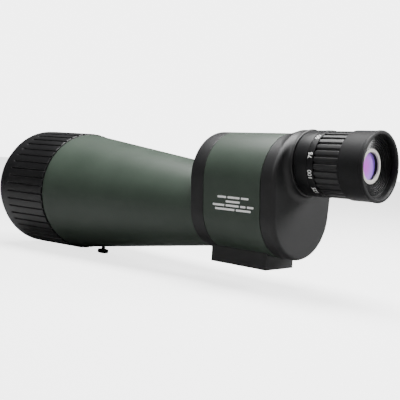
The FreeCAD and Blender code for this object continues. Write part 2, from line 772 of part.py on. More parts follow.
def objective_barrel():
    """Tapered barrel: threaded rear spigot, cone, front band and the neck that carries the focus ring."""
    shoulder = "(barrel_front - barrel_wall * 2)"
    rear_wall = "(housing_front + barrel_wall)"
    body = turned(
        "objective_barrel",
        OBJECTIVE,
        [
            (BULKHEAD_REAR, "spigot_radius - spigot_wall"),
            (BULKHEAD_REAR, "spigot_radius"),
            (BULKHEAD_FRONT, "spigot_radius"),
            (BULKHEAD_FRONT, "barrel_rear_radius - fit_gap"),
            ("housing_front", "barrel_rear_radius - fit_gap"),
            ("housing_front", "barrel_rear_radius"),
            ("barrel_front", "barrel_front_radius"),
            ("barrel_front", "barrel_band_radius"),
            ("barrel_band_end", "barrel_band_radius"),
            ("barrel_band_end", "neck_radius"),
            ("neck_end", "neck_radius"),
            ("neck_end", NECK_BORE),
            ("barrel_front", NECK_BORE),
            (shoulder, cone_radius(shoulder, "barrel_wall")),
            (rear_wall, cone_radius(rear_wall, "barrel_wall")),
            (rear_wall, "spigot_radius - spigot_wall"),
        ],
    )
    slots = new_sketch(body, "barrel_pin_slots", "XY_Plane", "neck_radius + 2")
    half = "pin_radius + slot_gap"
    rectangle(slots, "-(%s)" % half, half, "pin_place - (%s)" % half, "pin_place + focus_travel + " + half)
    extend(body, slots, "PartDesign::Pocket", "neck_radius * 2 + 4", False)
    floor = BARREL_SEAL_RADIUS + " - seal_cord_radius - seal_floor_gap"
    seal_groove(body, SEAL_PLACE, "seal_cord_radius", floor, "spigot_radius + 1")
    hole = new_sketch(body, "barrel_stud_hole", "XY_Plane", "0")
    circle(hole, "0", "stud_place", "stud_stem_radius + fit_gap")
    pocket(body, hole, "barrel_front_radius + 2", False)


def seal_ring(name, height, place, centre_radius, cord_radius):
    """A round-section rubber seal about the optical axis."""
    torus = document.addObject("Part::Torus", name)
    torus.Label = name
    bind(torus, "Radius1", centre_radius)
    bind(torus, "Radius2", cord_radius)
    torus.Placement = FreeCAD.Placement(Vector(), FreeCAD.Rotation(Vector(1, 0, 0), 90))
    bind(torus, "Placement.Base.y", place)
    bind(torus, "Placement.Base.z", height)
    SUBPARTS.append(name)


def baffle(name, place, bore):
    """A light baffle: a thin ring wedged in the cone, with a knife-edged bore."""
    rear_edge = cone_radius("(%s)" % place, "barrel_wall + fit_gap")
    front_edge = cone_radius("(%s + baffle_thickness)" % place, "barrel_wall + fit_gap")
    turned(
        name,
        OBJECTIVE,
        [
            (place, bore + " + baffle_thickness"),
            (place + " + baffle_thickness", bore),
            (place + " + baffle_thickness", front_edge),
            (place, rear_edge),
        ],
    )


def tether_stud():
    """Mushroom stud under the barrel, square to the cone's surface, for the cap's tether."""
    body = new_body("tether_stud")
    stem = new_sketch(body, "stud_stem", "XY_Plane", "0")
    circle(stem, "0", "0", "stud_stem_radius - fit_gap / 2")
    extend(body, stem, "PartDesign::Pad", "stud_stem_length + barrel_wall / 2", False)
    head = new_sketch(body, "stud_head", "XY_Plane", "-(stud_stem_length + barrel_wall / 2)")
    circle(head, "0", "0", "stud_head_radius")
    extend(body, head, "PartDesign::Pad", "stud_head_height", False)
    lean = math.degrees(math.atan(number(CONE_SLOPE)))
    body.Placement = FreeCAD.Placement(Vector(), FreeCAD.Rotation(Vector(1, 0, 0), lean))
    bind(body, "Placement.Base.y", "stud_place")
    bind(body, "Placement.Base.z", "%s - (%s)" % (OBJECTIVE, cone_radius("stud_place", "barrel_wall / 2")))


# ---- focus ring and objective ---------------------------------------------------------------------------


def helical_groove(body, name, place, half_width, low, high, lead, turn, right_handed, rearward):
    """Cuts a helical slot through a turned wall, from radius low to high, starting on the body's vertical."""
    sketch = new_sketch(body, name, "YZ_Plane")
    rectangle(sketch, "%s - (%s)" % (place, half_width), "%s + (%s)" % (place, half_width), low, high)
    cut = body.newObject("PartDesign::SubtractiveHelix", name + "_cut")
    cut.Profile = sketch
    cut.ReferenceAxis = (sketch, ["H_Axis"])
    cut.Mode = 0
    cut.Angle = 0
    cut.LeftHanded = not right_handed
    cut.Reversed = rearward
    before = body.Shape.Volume
    bind(cut, "Pitch", "%s * 360 / %s" % (lead, turn))
    bind(cut, "Height", "%s * (1 + 2 * slot_overrun / %s)" % (lead, turn))
    document.recompute()
    if body.Shape.Volume >= before:
        raise RuntimeError(name + " cut nothing")


def overrun_turn(body):
    """Turns a helically slotted body so that its slots start a little before the pins."""
    turn = FreeCAD.Rotation(Vector(0, 1, 0), number("slot_overrun"))
    body.Placement = FreeCAD.Placement(body.Placement.Base, turn)
    bind(body, "Placement.Rotation.Angle", "slot_overrun * 1 deg")


def groove_start(place, travel, turn):
    """Where a helical slot starts, so that its pin meets it once the overrun has passed."""
    return "(%s - (%s) * slot_overrun / %s)" % (place, travel, turn)


def focus_ring():
    """Metal core of the focus ring: turns on the barrel's neck; two helical grooves drive the lens cell."""
    body = turned(
        "focus_ring",
        OBJECTIVE,
        [
            ("ring_rear", CORE_BORE),
            ("neck_end - fit_gap", CORE_BORE),
            ("neck_end - fit_gap", SHADE_OUTER + " + running_gap"),
            ("ring_front - ring_front_lip", SHADE_OUTER + " + running_gap"),
            ("ring_front - ring_front_lip", "ring_core_radius"),
            ("ring_rear", "ring_core_radius"),
        ],
    )
    start = groove_start("pin_place", "focus_travel", "focus_turn")
    half = "pin_radius + slot_gap"
    depth = "neck_radius + focus_groove_depth"
    drive = ("focus_travel", "focus_turn", False, False)
    helical_groove(body, "focus_groove_upper", start, half, "neck_radius - 1", depth, *drive)
    helical_groove(body, "focus_groove_lower", start, half, "-(neck_radius - 1)", "-(%s)" % depth, *drive)
    overrun_turn(body)


def grooved_grip(name, height, points, groove_front, groove_rear, radius, depth, width, count):
    """A rubber grip with evenly spaced lengthwise grooves."""
    body = turned(name, height, points)
    sketch = across_sketch(body, name + "_groove", groove_front)
    rectangle(sketch, "-%s / 2" % width, "%s / 2" % width, "%s - %s" % (radius, depth), radius + " + 2")
    cut = pocket(body, sketch, "%s - (%s)" % (groove_front, groove_rear), False)
    polar(body, cut, count)


def focus_grip():
    """Ribbed rubber grip on the focus ring, smooth along its front band."""
    grooved_grip(
        "focus_grip",
        OBJECTIVE,
        [
            ("ring_rear", "ring_core_radius"),
            ("ring_front - ring_front_lip", "ring_core_radius"),
            ("ring_front - ring_front_lip", SHADE_OUTER + " + seam_gap"),
            ("ring_front", SHADE_OUTER + " + seam_gap"),
            ("ring_front", "grip_front_radius - grip_chamfer"),
            ("ring_front - grip_chamfer", "grip_front_radius"),
            ("ring_front - grip_band", "grip_front_radius"),
            ("ring_rear", "grip_rear_radius"),
        ],
        "ring_front - grip_band",
        "ring_rear - 1",
        "grip_rear_radius",
        "grip_groove_depth",
        "grip_groove_width",
        "grip_groove_count",
    )


def focus_ring_retainer():
    """Threaded ring on the neck's end that keeps the focus ring from coming off."""
    ring(
        "focus_ring_retainer",
        OBJECTIVE,
        "neck_end",
        "neck_end + ring_retainer_length",
        NECK_BORE,
        SHADE_OUTER + " - 0.15",
    )


def objective_cell():
    """Sliding cell that holds the two objective lenses, with a seal groove and a rear lip."""
    front = "(cell_rear + cell_length)"
    groove_floor = CELL_SEAL_RADIUS + " - seal_cord_radius - seal_floor_gap"
    body = turned(
        "objective_cell",
        OBJECTIVE,
        [
            ("cell_rear", "clear_radius"),
            ("cell_rear + cell_lip", "clear_radius"),
            ("cell_rear + cell_lip", LENS_SEAT),
            (front, LENS_SEAT),
            (front, CELL_RADIUS),
            (CELL_SEAL_PLACE + " + seal_cord_radius", CELL_RADIUS),
            (CELL_SEAL_PLACE + " + seal_cord_radius", groove_floor),
            (CELL_SEAL_PLACE + " - seal_cord_radius", groove_floor),
            (CELL_SEAL_PLACE + " - seal_cord_radius", CELL_RADIUS),
            ("cell_rear", CELL_RADIUS),
        ],
    )
    holes = new_sketch(body, "cell_pin_holes", "XY_Plane", "neck_radius + 2")
    circle(holes, "0", "pin_place", "pin_radius")
    extend(body, holes, "PartDesign::Pocket", "2 + neck_radius - (%s) + 1.6" % CELL_RADIUS, False)
    lower = new_sketch(body, "cell_pin_holes_low", "XY_Plane", "-(neck_radius + 2)")
    circle(lower, "0", "pin_place", "pin_radius")
    extend(body, lower, "PartDesign::Pocket", "2 + neck_radius - (%s) + 1.6" % CELL_RADIUS, True)


def focus_drive_pins():
    """Two pins from the cell through the neck's straight slots into the ring's helical grooves."""
    body = new_body("focus_drive_pins", OBJECTIVE)
    inner = "(%s - pin_root)" % CELL_RADIUS
    outer = "(neck_radius + focus_groove_depth - seam_gap)"
    upper = new_sketch(body, "pin_upper", "XY_Plane", inner)
    circle(upper, "0", "pin_place", "pin_radius")
    pad(body, upper, "%s - %s" % (outer, inner))
    lower = new_sketch(body, "pin_lower", "XY_Plane", "-" + inner)
    circle(lower, "0", "pin_place", "pin_radius")
    pad(body, lower, "%s - %s" % (outer, inner), False)


def lens(name, height, rear, front, radius, rear_bulge, front_bulge):
    """A lens from edge to edge; a bulge pushes that face's middle outward, a negative one hollows it."""
    points = [("%s - (%s)" % (rear, rear_bulge), "0")]
    if rear_bulge != "0":
        points[-1] += ("arc",)
    points.append((rear, radius))
    points.append((front, radius) + (("arc",) if front_bulge != "0" else ()))
    points.append(("%s + %s" % (front, front_bulge), "0"))
    turned(name, height, points)


def objective_optics():
    """Crown and flint lenses with their spacer and the threaded ring in front of them."""
    lens("crown_lens", OBJECTIVE, CROWN_REAR, CROWN_FRONT, LENS_RADIUS, "lens_sag", "lens_sag")
    lens("flint_lens", OBJECTIVE, FLINT_REAR, FLINT_FRONT, LENS_RADIUS, "0", "-flint_hollow")
    spacer_front = CROWN_REAR + " - lens_seat_gap"
    ring("lens_spacer", OBJECTIVE, FLINT_FRONT, spacer_front, "clear_radius + spacer_margin", LENS_RADIUS)
    rear = CROWN_FRONT + " + lens_seat_gap"
    front = "(cell_rear + cell_length)"
    ring("objective_retaining_ring", OBJECTIVE, rear, front, "clear_radius + retaining_margin", LENS_SEAT)
    seal_ring("objective_seal", OBJECTIVE, CELL_SEAL_PLACE, CELL_SEAL_RADIUS, "seal_cord_radius")


def sunshade():
    """Thin tube that slides out of the ring's front, with a rolled front lip and a rear guide bead."""
    inner = "(%s - shade_wall)" % SHADE_OUTER
    turned(
        "sunshade",
        OBJECTIVE,
        [
            ("shade_rear", inner),
            ("shade_front - shade_bead * 2", inner),
            ("shade_front - shade_bead", inner + " - shade_bead / 2"),
            ("shade_front", inner),
            ("shade_front", SHADE_OUTER + " - shade_bead / 2"),
            ("shade_front - shade_bead / 2", SHADE_OUTER),
            ("shade_rear", SHADE_OUTER),
        ],
    )


# ---- prisms ---------------------------------------------------------------------------------------------


def prism_plate():
    """Cross plate that carries both prisms, cut away round the rear screw posts."""
    body = new_body("prism_plate")
    face = "-prism_plate_thickness / 2"
    outer = across_sketch(body, "plate_outer", face)
    hull(outer, HOUSING_INNER + " + prism_plate_gap")
    pad(body, outer, "prism_plate_thickness")
    notches = across_sketch(body, "plate_notches", face)
    for across, height in post_places():
        circle(notches, across, height, "screw_post_radius + prism_plate_gap")
    pocket(body, notches, "prism_plate_thickness")
    relief = across_sketch(body, "plate_foot_relief", face)
    half = "foot_pad_width / 2 + prism_plate_gap"
    rectangle(relief, "-(%s)" % half, half, "0", "foot_pad_height + prism_plate_gap")
    pocket(body, relief, "prism_plate_thickness")
    holes = across_sketch(body, "plate_holes", face)
    circle(holes, "0", OBJECTIVE, "aperture_radius")
    circle(holes, PRISM_SHIFT, OBJECTIVE + " + " + PRISM_SHIFT, "aperture_radius")
    circle(holes, "0", EYEPIECE, "aperture_radius")
    for across, height in plate_screw_places():
        circle(holes, across, height, "small_screw_radius + fit_gap / 2")
    pocket(body, holes, "prism_plate_thickness")
    for label, front, sign in (("rear", False, "-"), ("front", True, "")):
        threads = across_sketch(body, label + "_clip_threads", sign + "prism_plate_thickness / 2")
        for across, height in clip_screw_places(front):
            circle(threads, across, height, "small_screw_radius + fit_gap / 2")
        pocket(body, threads, "clip_screw_reach + fit_gap", not front)


def clip_screw_places(front):
    """Centres of one clip's two screws: (across, height)."""
    reach = "%s / sqrt(2)" % CLIP_SCREW
    low_height = OBJECTIVE + (" + " + PRISM_SHIFT if front else "")
    first, second = ("+", "-") if front else ("-", "+")
    centre = "%s / 2 " % PRISM_SHIFT
    middle = "%s + %s / 2 " % (low_height, PRISM_SHIFT)
    return [(centre + "+ " + reach, middle + first + reach), (centre + "- " + reach, middle + second + reach)]


def prism_clip_screws():
    """Four short screws that hold the two prism clips to the plate."""
    body = new_body("prism_clip_screws")
    for label, front, sign in (("rear", False, "-"), ("front", True, "")):
        face = sign + "(prism_plate_thickness / 2 + clip_thickness)"
        heads = across_sketch(body, label + "_clip_heads", face)
        shanks = across_sketch(body, label + "_clip_shanks", face)
        for across, along in clip_screw_places(front):
            circle(heads, across, along, "small_head_radius")
            circle(shanks, across, along, "small_screw_radius")
        pad(body, heads, "small_head_height", front)
        pad(body, shanks, "clip_thickness + clip_screw_reach", not front)


def tilt_to_prism(body, low_height, front):
    """Lays a body on one face of the plate, half a right angle round, over one leg of the light's path."""
    lean = 45 if not front else -45
    rotation = FreeCAD.Rotation(Vector(0, 1, 0), lean)
    if front:
        rotation = rotation.multiply(FreeCAD.Rotation(Vector(1, 0, 0), 180))
    side = "+" if front else "-"
    body.Placement = FreeCAD.Placement(Vector(), rotation)
    bind(body, "Placement.Base.x", PRISM_SHIFT + " / 2")
    bind(body, "Placement.Base.y", side + "prism_plate_thickness / 2")
    bind(body, "Placement.Base.z", "%s + %s / 2" % (low_height, PRISM_SHIFT))


def porro_prism(name, low_height, front):
    """Right-angle prism with rounded ends: its broad face lies on the plate, its roof turns light back."""
    body = new_body(name)
    base = across_sketch(body, name + "_base", "0")
    round_ended(base, "-" + HALF_LEG, HALF_LEG, "prism_aperture", "prism_aperture")
    pad(body, base, PRISM_HEIGHT, False)
    for side, sign in (("_high", ""), ("_low", "-")):
        slope = new_sketch(body, name + "_slope" + side, "YZ_Plane", "-(prism_aperture + 2)")
        edge = sign + "(%s + 2)" % PRISM_HEIGHT
        outline(
            slope,
            [("2", edge), ("-(%s + 2)" % PRISM_HEIGHT, sign + "(-2)"), ("-(%s + 2)" % PRISM_HEIGHT, edge)],
        )
        pocket(body, slope, "prism_aperture * 2 + 4")
    tilt_to_prism(body, low_height, front)


def prism_clip(name, low_height, front):
    """Sprung strap over the prism's roof edge, with two screwed feet on the plate."""
    body = new_body(name)
    inside = "(prism_aperture + clip_lift)"
    top = "(%s + clip_lift)" % PRISM_HEIGHT
    strap = new_sketch(body, name + "_strap", "XY_Plane", "-clip_width / 2")
    outline(
        strap,
        [
            ("-(%s + clip_thickness + clip_foot)" % inside, "0"),
            ("-" + inside, "0"),
            ("-" + inside, "-" + top),
            (inside, "-" + top),
            (inside, "0"),
            ("%s + clip_thickness + clip_foot" % inside, "0"),
            ("%s + clip_thickness + clip_foot" % inside, "-clip_thickness"),
            ("%s + clip_thickness" % inside, "-clip_thickness"),
            ("%s + clip_thickness" % inside, "-(%s + clip_thickness)" % top),
            ("-(%s + clip_thickness)" % inside, "-(%s + clip_thickness)" % top),
            ("-(%s + clip_thickness)" % inside, "-clip_thickness"),
            ("-(%s + clip_thickness + clip_foot)" % inside, "-clip_thickness"),
        ],
    )
    pad(body, strap, "clip_width")
    holes = across_sketch(body, name + "_holes", "0")
    for sign in ("", "-"):
        circle(holes, sign + CLIP_SCREW, "0", "small_screw_radius + fit_gap / 2")
    pocket(body, holes, "clip_thickness", False)
    tilt_to_prism(body, low_height, front)


# ---- eyepiece -------------------------------------------------------------------------------------------


def eyepiece_barrel():
    """Fixed tube held in the rear cover's socket, with two straight guide slots for the lens groups."""
    body = turned(
        "eyepiece_barrel",
        EYEPIECE,
        [
            ("eyepiece_tube_rear", TUBE_BORE),
            ("eyepiece_tube_front", TUBE_BORE),
            ("eyepiece_tube_front", "eyepiece_tube_radius"),
            ("eyepiece_tube_rear", "eyepiece_tube_radius"),
        ],
    )
    half = "(zoom_pin_radius + slot_gap)"
    upper = new_sketch(body, "variator_guide", "XY_Plane", "0")
    rear = "variator_place - variator_travel - " + half
    rectangle(upper, "-" + half, half, rear, "variator_place + " + half)
    pocket(body, upper, "eyepiece_tube_radius + 1")
    lower = new_sketch(body, "compensator_guide", "XY_Plane", "0")
    front = "compensator_place + compensator_travel + " + half
    rectangle(lower, "-" + half, half, "compensator_place - " + half, front)
    extend(body, lower, "PartDesign::Pocket", "eyepiece_tube_radius + 1", False)
    floor = TUBE_SEAL_RADIUS + " - eyepiece_seal_cord - seal_floor_gap"
    seal_groove(body, TUBE_SEAL_PLACE, "eyepiece_seal_cord", floor, "eyepiece_tube_radius + 1")


def eyepiece_collar():
    """Fixed collar behind the boss; the zoom ring's nose turns inside it and its index faces the numbers."""
    turned(
        "eyepiece_collar",
        EYEPIECE,
        [
            ("collar_front", "eyepiece_tube_radius + fit_gap / 2"),
            ("collar_front", "collar_radius - collar_edge"),
            ("collar_front - collar_edge", "collar_radius"),
            ("collar_rear", "collar_radius"),
            ("collar_rear", "core_radius + seam_gap"),
            ("core_nose + seam_gap", "core_radius + seam_gap"),
            ("core_nose + seam_gap", "eyepiece_tube_radius + fit_gap / 2"),
        ],
    )


def zoom_ring():
    """Metal core of the zoom ring with the raised band that carries the magnification numbers."""
    body = turned(
        "zoom_ring",
        EYEPIECE,
        [
            ("core_nose", "cam_radius"),
            ("core_rear", "cam_radius"),
            ("core_rear", "core_radius"),
            ("band_rear", "core_radius"),
            ("band_rear", "band_radius"),
            ("collar_rear - seam_gap", "band_radius"),
            ("collar_rear - seam_gap", "core_radius"),
            ("core_nose", "core_radius"),
        ],
    )
    hole = new_sketch(body, "zoom_ring_pin_hole", "YZ_Plane", "0")
    circle(hole, "drive_pin_place", "0", "zoom_pin_radius")
    pocket(body, hole, "core_radius + 1")
    overrun_turn(body)


def zoom_grip():
    """Ribbed rubber grip on the zoom ring."""
    grooved_grip(
        "zoom_grip",
        EYEPIECE,
        [
            ("core_rear", "core_radius"),
            ("band_rear", "core_radius"),
            ("band_rear", "grip_radius - zoom_grip_edge"),
            ("band_rear - zoom_grip_edge", "grip_radius"),
            ("core_rear + zoom_grip_edge", "grip_radius"),
            ("core_rear", "grip_radius - zoom_grip_edge"),
        ],
        "band_rear + 0.5",
        "core_rear - 0.5",
        "grip_radius",
        "zoom_groove_depth",
        "zoom_groove_width",
        "zoom_groove_count",
    )


def cam_tube():
    """Tube that turns with the zoom ring; its two opposed helical slots move the lens groups."""
    body = turned(
        "cam_tube",
        EYEPIECE,
        [
            ("cam_rear", CAM_BORE),
            ("cam_front", CAM_BORE),
            ("cam_front", "cam_radius"),
            ("cam_rear", "cam_radius"),
        ],
    )
    half = "zoom_pin_radius + slot_gap"
    helical_groove(
        body,
        "variator_slot",
        groove_start("variator_place", "-variator_travel", "zoom_turn"),
        half,
        "eyepiece_tube_radius - 0.5",
        "cam_radius + 0.5",
        "variator_travel",
        "zoom_turn",
        True,
        True,
    )
    helical_groove(
        body,
        "compensator_slot",
        groove_start("compensator_place", "compensator_travel", "zoom_turn"),
        half,
        "-(cam_radius + 0.5)",
        "-(eyepiece_tube_radius - 0.5)",
        "compensator_travel",
        "zoom_turn",
        False,
        False,
    )
    overrun_turn(body)
    hole = new_sketch(body, "cam_pin_hole", "YZ_Plane", "0")
    circle(hole, "drive_pin_place", "0", "zoom_pin_radius + fit_gap / 2")
    pocket(body, hole, "cam_radius + 1")


def zoom_drive_pin():
    """Headless screw that locks the cam tube to the zoom ring, hidden by the grip."""
    body = new_body("zoom_drive_pin", EYEPIECE)
    shank = new_sketch(body, "drive_pin_shank", "YZ_Plane", "eyepiece_tube_radius + seam_gap")
    circle(shank, "drive_pin_place", "0", "zoom_pin_radius")
    pad(body, shank, "core_radius - fit_gap - eyepiece_tube_radius - seam_gap")
    overrun_turn(body)


def zoom_group(name, place, bulge, downward):
    """One moving lens group: its cell, its lens and the pin that follows the cam slot."""
    rear = "(%s - zoom_cell_length / 2)" % place
    front = "(%s + zoom_cell_length / 2)" % place
    cell = turned(
        name + "_cell",
        EYEPIECE,
        [
            (rear, "zoom_lens_radius - zoom_cell_lip"),
            (rear + " + zoom_cell_lip", "zoom_lens_radius - zoom_cell_lip"),
            (rear + " + zoom_cell_lip", "zoom_lens_radius + fit_gap / 2"),
            (front, "zoom_lens_radius + fit_gap / 2"),
            (front, ZOOM_CELL_RADIUS),
            (rear, ZOOM_CELL_RADIUS),
        ],
    )
    floor = "(%s - 1.6)" % ZOOM_CELL_RADIUS
    sign = "-" if downward else ""
    hole = new_sketch(cell, name + "_pin_hole", "XY_Plane", sign + floor)
    circle(hole, "0", place, "zoom_pin_radius")
    pocket(cell, hole, "3", not downward)
    lens(
        name + "_lens",
        EYEPIECE,
        rear + " + zoom_cell_lip + zoom_seat_gap",
        "(%s - zoom_cell_lip)" % front,
        "zoom_lens_radius",
        bulge,
        bulge,
    )
    pin = new_body(name + "_pin", EYEPIECE)
    shank = new_sketch(pin, name + "_pin_shank", "XY_Plane", sign + floor)
    circle(shank, "0", place, "zoom_pin_radius")
    pad(pin, shank, "cam_radius - seam_gap - " + floor, not downward)


def eye_dish():
    """The stepped dish of the eye lens housing, from the ring's seat out to the rim."""
    points = []
    steps = DIMENSIONS["eye_dish_steps"]
    rise = "(eye_dish_radius - eye_ring_radius - fit_gap / 2) / eye_dish_steps"
    drop = "(eye_dish_front - eye_dish_rear) / eye_dish_steps"
    for step in range(steps):
        radius = "eye_ring_radius + fit_gap / 2 + %s * " % rise
        place = "eye_dish_front - %s * " % drop
        points.append((place + str(step), radius + str(step)))
        points.append((place + str(step), radius + str(step + 1)))
    return points


def eye_lens_housing():
    """Black tube screwed on the eyepiece barrel; the eye lens sits in its stepped dish."""
    seat = "eye_ring_radius + fit_gap / 2"
    points = [
        ("eyepiece_tube_rear", "eyepiece_tube_radius"),
        ("eye_housing_front", "eyepiece_tube_radius"),
        ("eye_housing_front", "eye_housing_radius"),
        ("eye_dish_rear", "eye_housing_radius"),
        ("eye_dish_rear", "eye_dish_radius"),
        *reversed(eye_dish()),
        (EYE_LENS_FRONT, seat),
        (EYE_LENS_FRONT, "eye_ring_bore"),
        (EYE_LENS_FRONT + " + eye_bore_length", "eye_ring_bore"),
        ("eyepiece_tube_rear", TUBE_BORE),
    ]
    turned("eye_lens_housing", EYEPIECE, points)


def eye_lens_parts():
    """The eye lens and the light ring that holds it in its seat."""
    lens("eye_lens", EYEPIECE, "eye_ring_front", EYE_LENS_FRONT, "eye_ring_radius", "eye_lens_sag", "0")
    turned(
        "eye_lens_ring",
        EYEPIECE,
        [
            ("eye_ring_front - eye_seat_gap", "eye_ring_bore"),
            ("eye_ring_front - eye_seat_gap", "eye_ring_radius"),
            ("eye_ring_rear", "eye_ring_radius"),
            ("eye_ring_rear", "eye_ring_bore + 0.8"),
        ],
    )


def field_lens():
    """Fixed front lens of the eyepiece, at the mouth of its barrel."""
    rear = "(eyepiece_tube_front - field_lens_setback - field_lens_edge)"
    front = "(eyepiece_tube_front - field_lens_setback)"
    lens("field_lens", EYEPIECE, rear, front, TUBE_BORE, "0", "eye_lens_sag")


def eyecup():
    """Soft rubber eyecup round the eye lens housing, with a slightly proud rim."""
    turned(
        "eyecup",
        EYEPIECE,
        [
            ("cup_front", "eye_housing_radius"),
            ("cup_front", "cup_radius - cup_front_edge"),
            ("cup_front - cup_front_edge", "cup_radius"),
            ("cup_rear + cup_lip_length", "cup_radius"),
            ("cup_rear + cup_lip_length - cup_lip_slope", "cup_lip_radius"),
            ("cup_rear + cup_lip_edge", "cup_lip_radius"),
            ("cup_rear", "cup_lip_radius - cup_lip_edge"),
            ("cup_rear", "cup_mouth_radius + cup_lip_edge"),
            ("cup_rear + cup_mouth_depth", "cup_mouth_radius"),
            ("eye_dish_rear", "cup_mouth_radius"),
            ("eye_dish_rear", "eye_housing_radius"),
        ],
    )


# ---- the whole scope ------------------------------------------------------------------------------------


def build():
    """Builds every sub-part."""
    fill_sheet()
    prism_housing()
    housing_armour()
    front_trim()
    rear_cover()
    rear_cover_gasket()
    rear_cover_screws()
    rear_armour()
    tripod_foot()
    tripod_bushing()
    foot_screws()
    objective_barrel()
    seal_ring("barrel_seal", OBJECTIVE, SEAL_PLACE, BARREL_SEAL_RADIUS, "seal_cord_radius")
    baffle("front_baffle", "front_baffle_place", "front_baffle_bore")
    baffle("rear_baffle", "rear_baffle_place", "rear_baffle_bore")
    tether_stud()
    focus_ring()
    focus_grip()
    focus_ring_retainer()
    objective_cell()
    focus_drive_pins()
    objective_optics()
    sunshade()
    prism_plate()
    plate_screw_face = "-prism_plate_thickness / 2 - small_head_height"
    plate_screw_length = "prism_plate_thickness + small_head_height + 6"
    screws("prism_plate_screws", plate_screw_places(), plate_screw_face, plate_screw_length)
    middle = "(%s + %s)" % (OBJECTIVE, PRISM_SHIFT)
    for name, low_height, front in (("rear", OBJECTIVE, False), ("front", middle, True)):
        porro_prism(name + "_prism", low_height, front)
        prism_clip(name + "_prism_clip", low_height, front)
    prism_clip_screws()
    eyepiece_barrel()
    seal_ring("eyepiece_seal", EYEPIECE, TUBE_SEAL_PLACE, TUBE_SEAL_RADIUS, "eyepiece_seal_cord")
    eyepiece_collar()
    zoom_ring()
    zoom_grip()
    cam_tube()
    zoom_drive_pin()
    zoom_group("variator", "variator_place", "-0.6", False)
    zoom_group("compensator", "compensator_place", "0.8", True)
    field_lens()
    eye_lens_housing()
    eye_lens_parts()
    eyecup()
    document.recompute()


def check():
    """Stops before anything is written if an object failed or a sub-part is empty or broken."""
    failed = [item.Name for item in document.Objects if {"Invalid", "Error"} & set(item.State)]
    for name in SUBPARTS:
        shape = document.getObject(name).Shape
        if shape.isNull() or not shape.isValid() or not shape.Solids:
            failed.append(name)
    if failed:
        raise RuntimeError("failed: " + ", ".join(failed))


def write_parts():
    """Writes each sub-part to its own STEP file, named by its label."""
    os.makedirs("parts", exist_ok=True)
    for name in SUBPARTS:
        item = document.getObject(name)
        item.Shape.exportStep("parts/%s.step" % item.Label)


build()
check()
write_parts()
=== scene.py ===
import logging
import math
from collections.abc import Callable
from dataclasses import dataclass, field
from enum import Enum

import bmesh
import bpy
import numpy as np
from mathutils import Matrix, Vector


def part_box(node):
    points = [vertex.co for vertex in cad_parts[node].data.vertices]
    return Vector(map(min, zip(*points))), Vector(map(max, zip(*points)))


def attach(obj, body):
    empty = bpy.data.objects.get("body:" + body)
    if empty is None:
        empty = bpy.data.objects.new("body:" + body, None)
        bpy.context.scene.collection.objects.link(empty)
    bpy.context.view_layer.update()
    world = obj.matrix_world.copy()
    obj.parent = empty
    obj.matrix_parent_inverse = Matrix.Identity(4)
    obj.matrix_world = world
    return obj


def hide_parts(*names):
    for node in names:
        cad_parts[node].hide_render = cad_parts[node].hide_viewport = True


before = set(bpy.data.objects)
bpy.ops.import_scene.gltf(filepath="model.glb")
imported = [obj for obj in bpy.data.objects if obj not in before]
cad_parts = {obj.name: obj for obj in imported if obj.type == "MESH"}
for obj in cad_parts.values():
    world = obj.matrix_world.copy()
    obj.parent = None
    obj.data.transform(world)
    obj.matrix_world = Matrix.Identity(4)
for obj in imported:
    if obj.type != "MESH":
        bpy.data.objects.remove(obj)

# The looks of a straight zoom spotting scope, built round its fixed frame.
# +Y is the optical axis toward the target, +X the user's right and +Z up. The scene is in metres; the
# sizes of the pieces are written in millimetres and turned into metres by MM.

LOG = logging.getLogger("spotting_scope")
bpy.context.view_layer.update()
MM = 0.001


# ---- shader building -----------------------------------------------------------------------------------


class Value:
    """A shader socket that takes part in Python expressions; each operation adds a Math node."""

    def __init__(self, shader: "Shader", socket: bpy.types.NodeSocket) -> None:
        """Keeps the shader that the socket belongs to."""
        self.shader = shader
        self.socket = socket

    def math(self, operation: str, other: "Value | float") -> "Value":
        """Applies a Math operation to this value and another value or number."""
        return self.shader.node("ShaderNodeMath", {"operation": operation}, {0: self, 1: other})

    def __add__(self, other: "Value | float") -> "Value":
        """self + other."""
        return self.math("ADD", other)

    def __radd__(self, other: float) -> "Value":
        """other + self."""
        return self.math("ADD", other)

    def __mul__(self, other: "Value | float") -> "Value":
        """self * other."""
        return self.math("MULTIPLY", other)

    def __sub__(self, other: "Value | float") -> "Value":
        """self - other."""
        return self.math("SUBTRACT", other)

    def __rsub__(self, other: float) -> "Value":
        """other - self."""
        return self.math("MULTIPLY", -1.0) + other

    def ramp(self, low: float, high: float) -> "Value":
        """A smooth step from 0 at low to 1 at high."""
        settings = {"interpolation_type": "SMOOTHSTEP"}
        inputs = {"Value": self, "From Min": low, "From Max": high}
        return self.shader.node("ShaderNodeMapRange", settings, inputs)


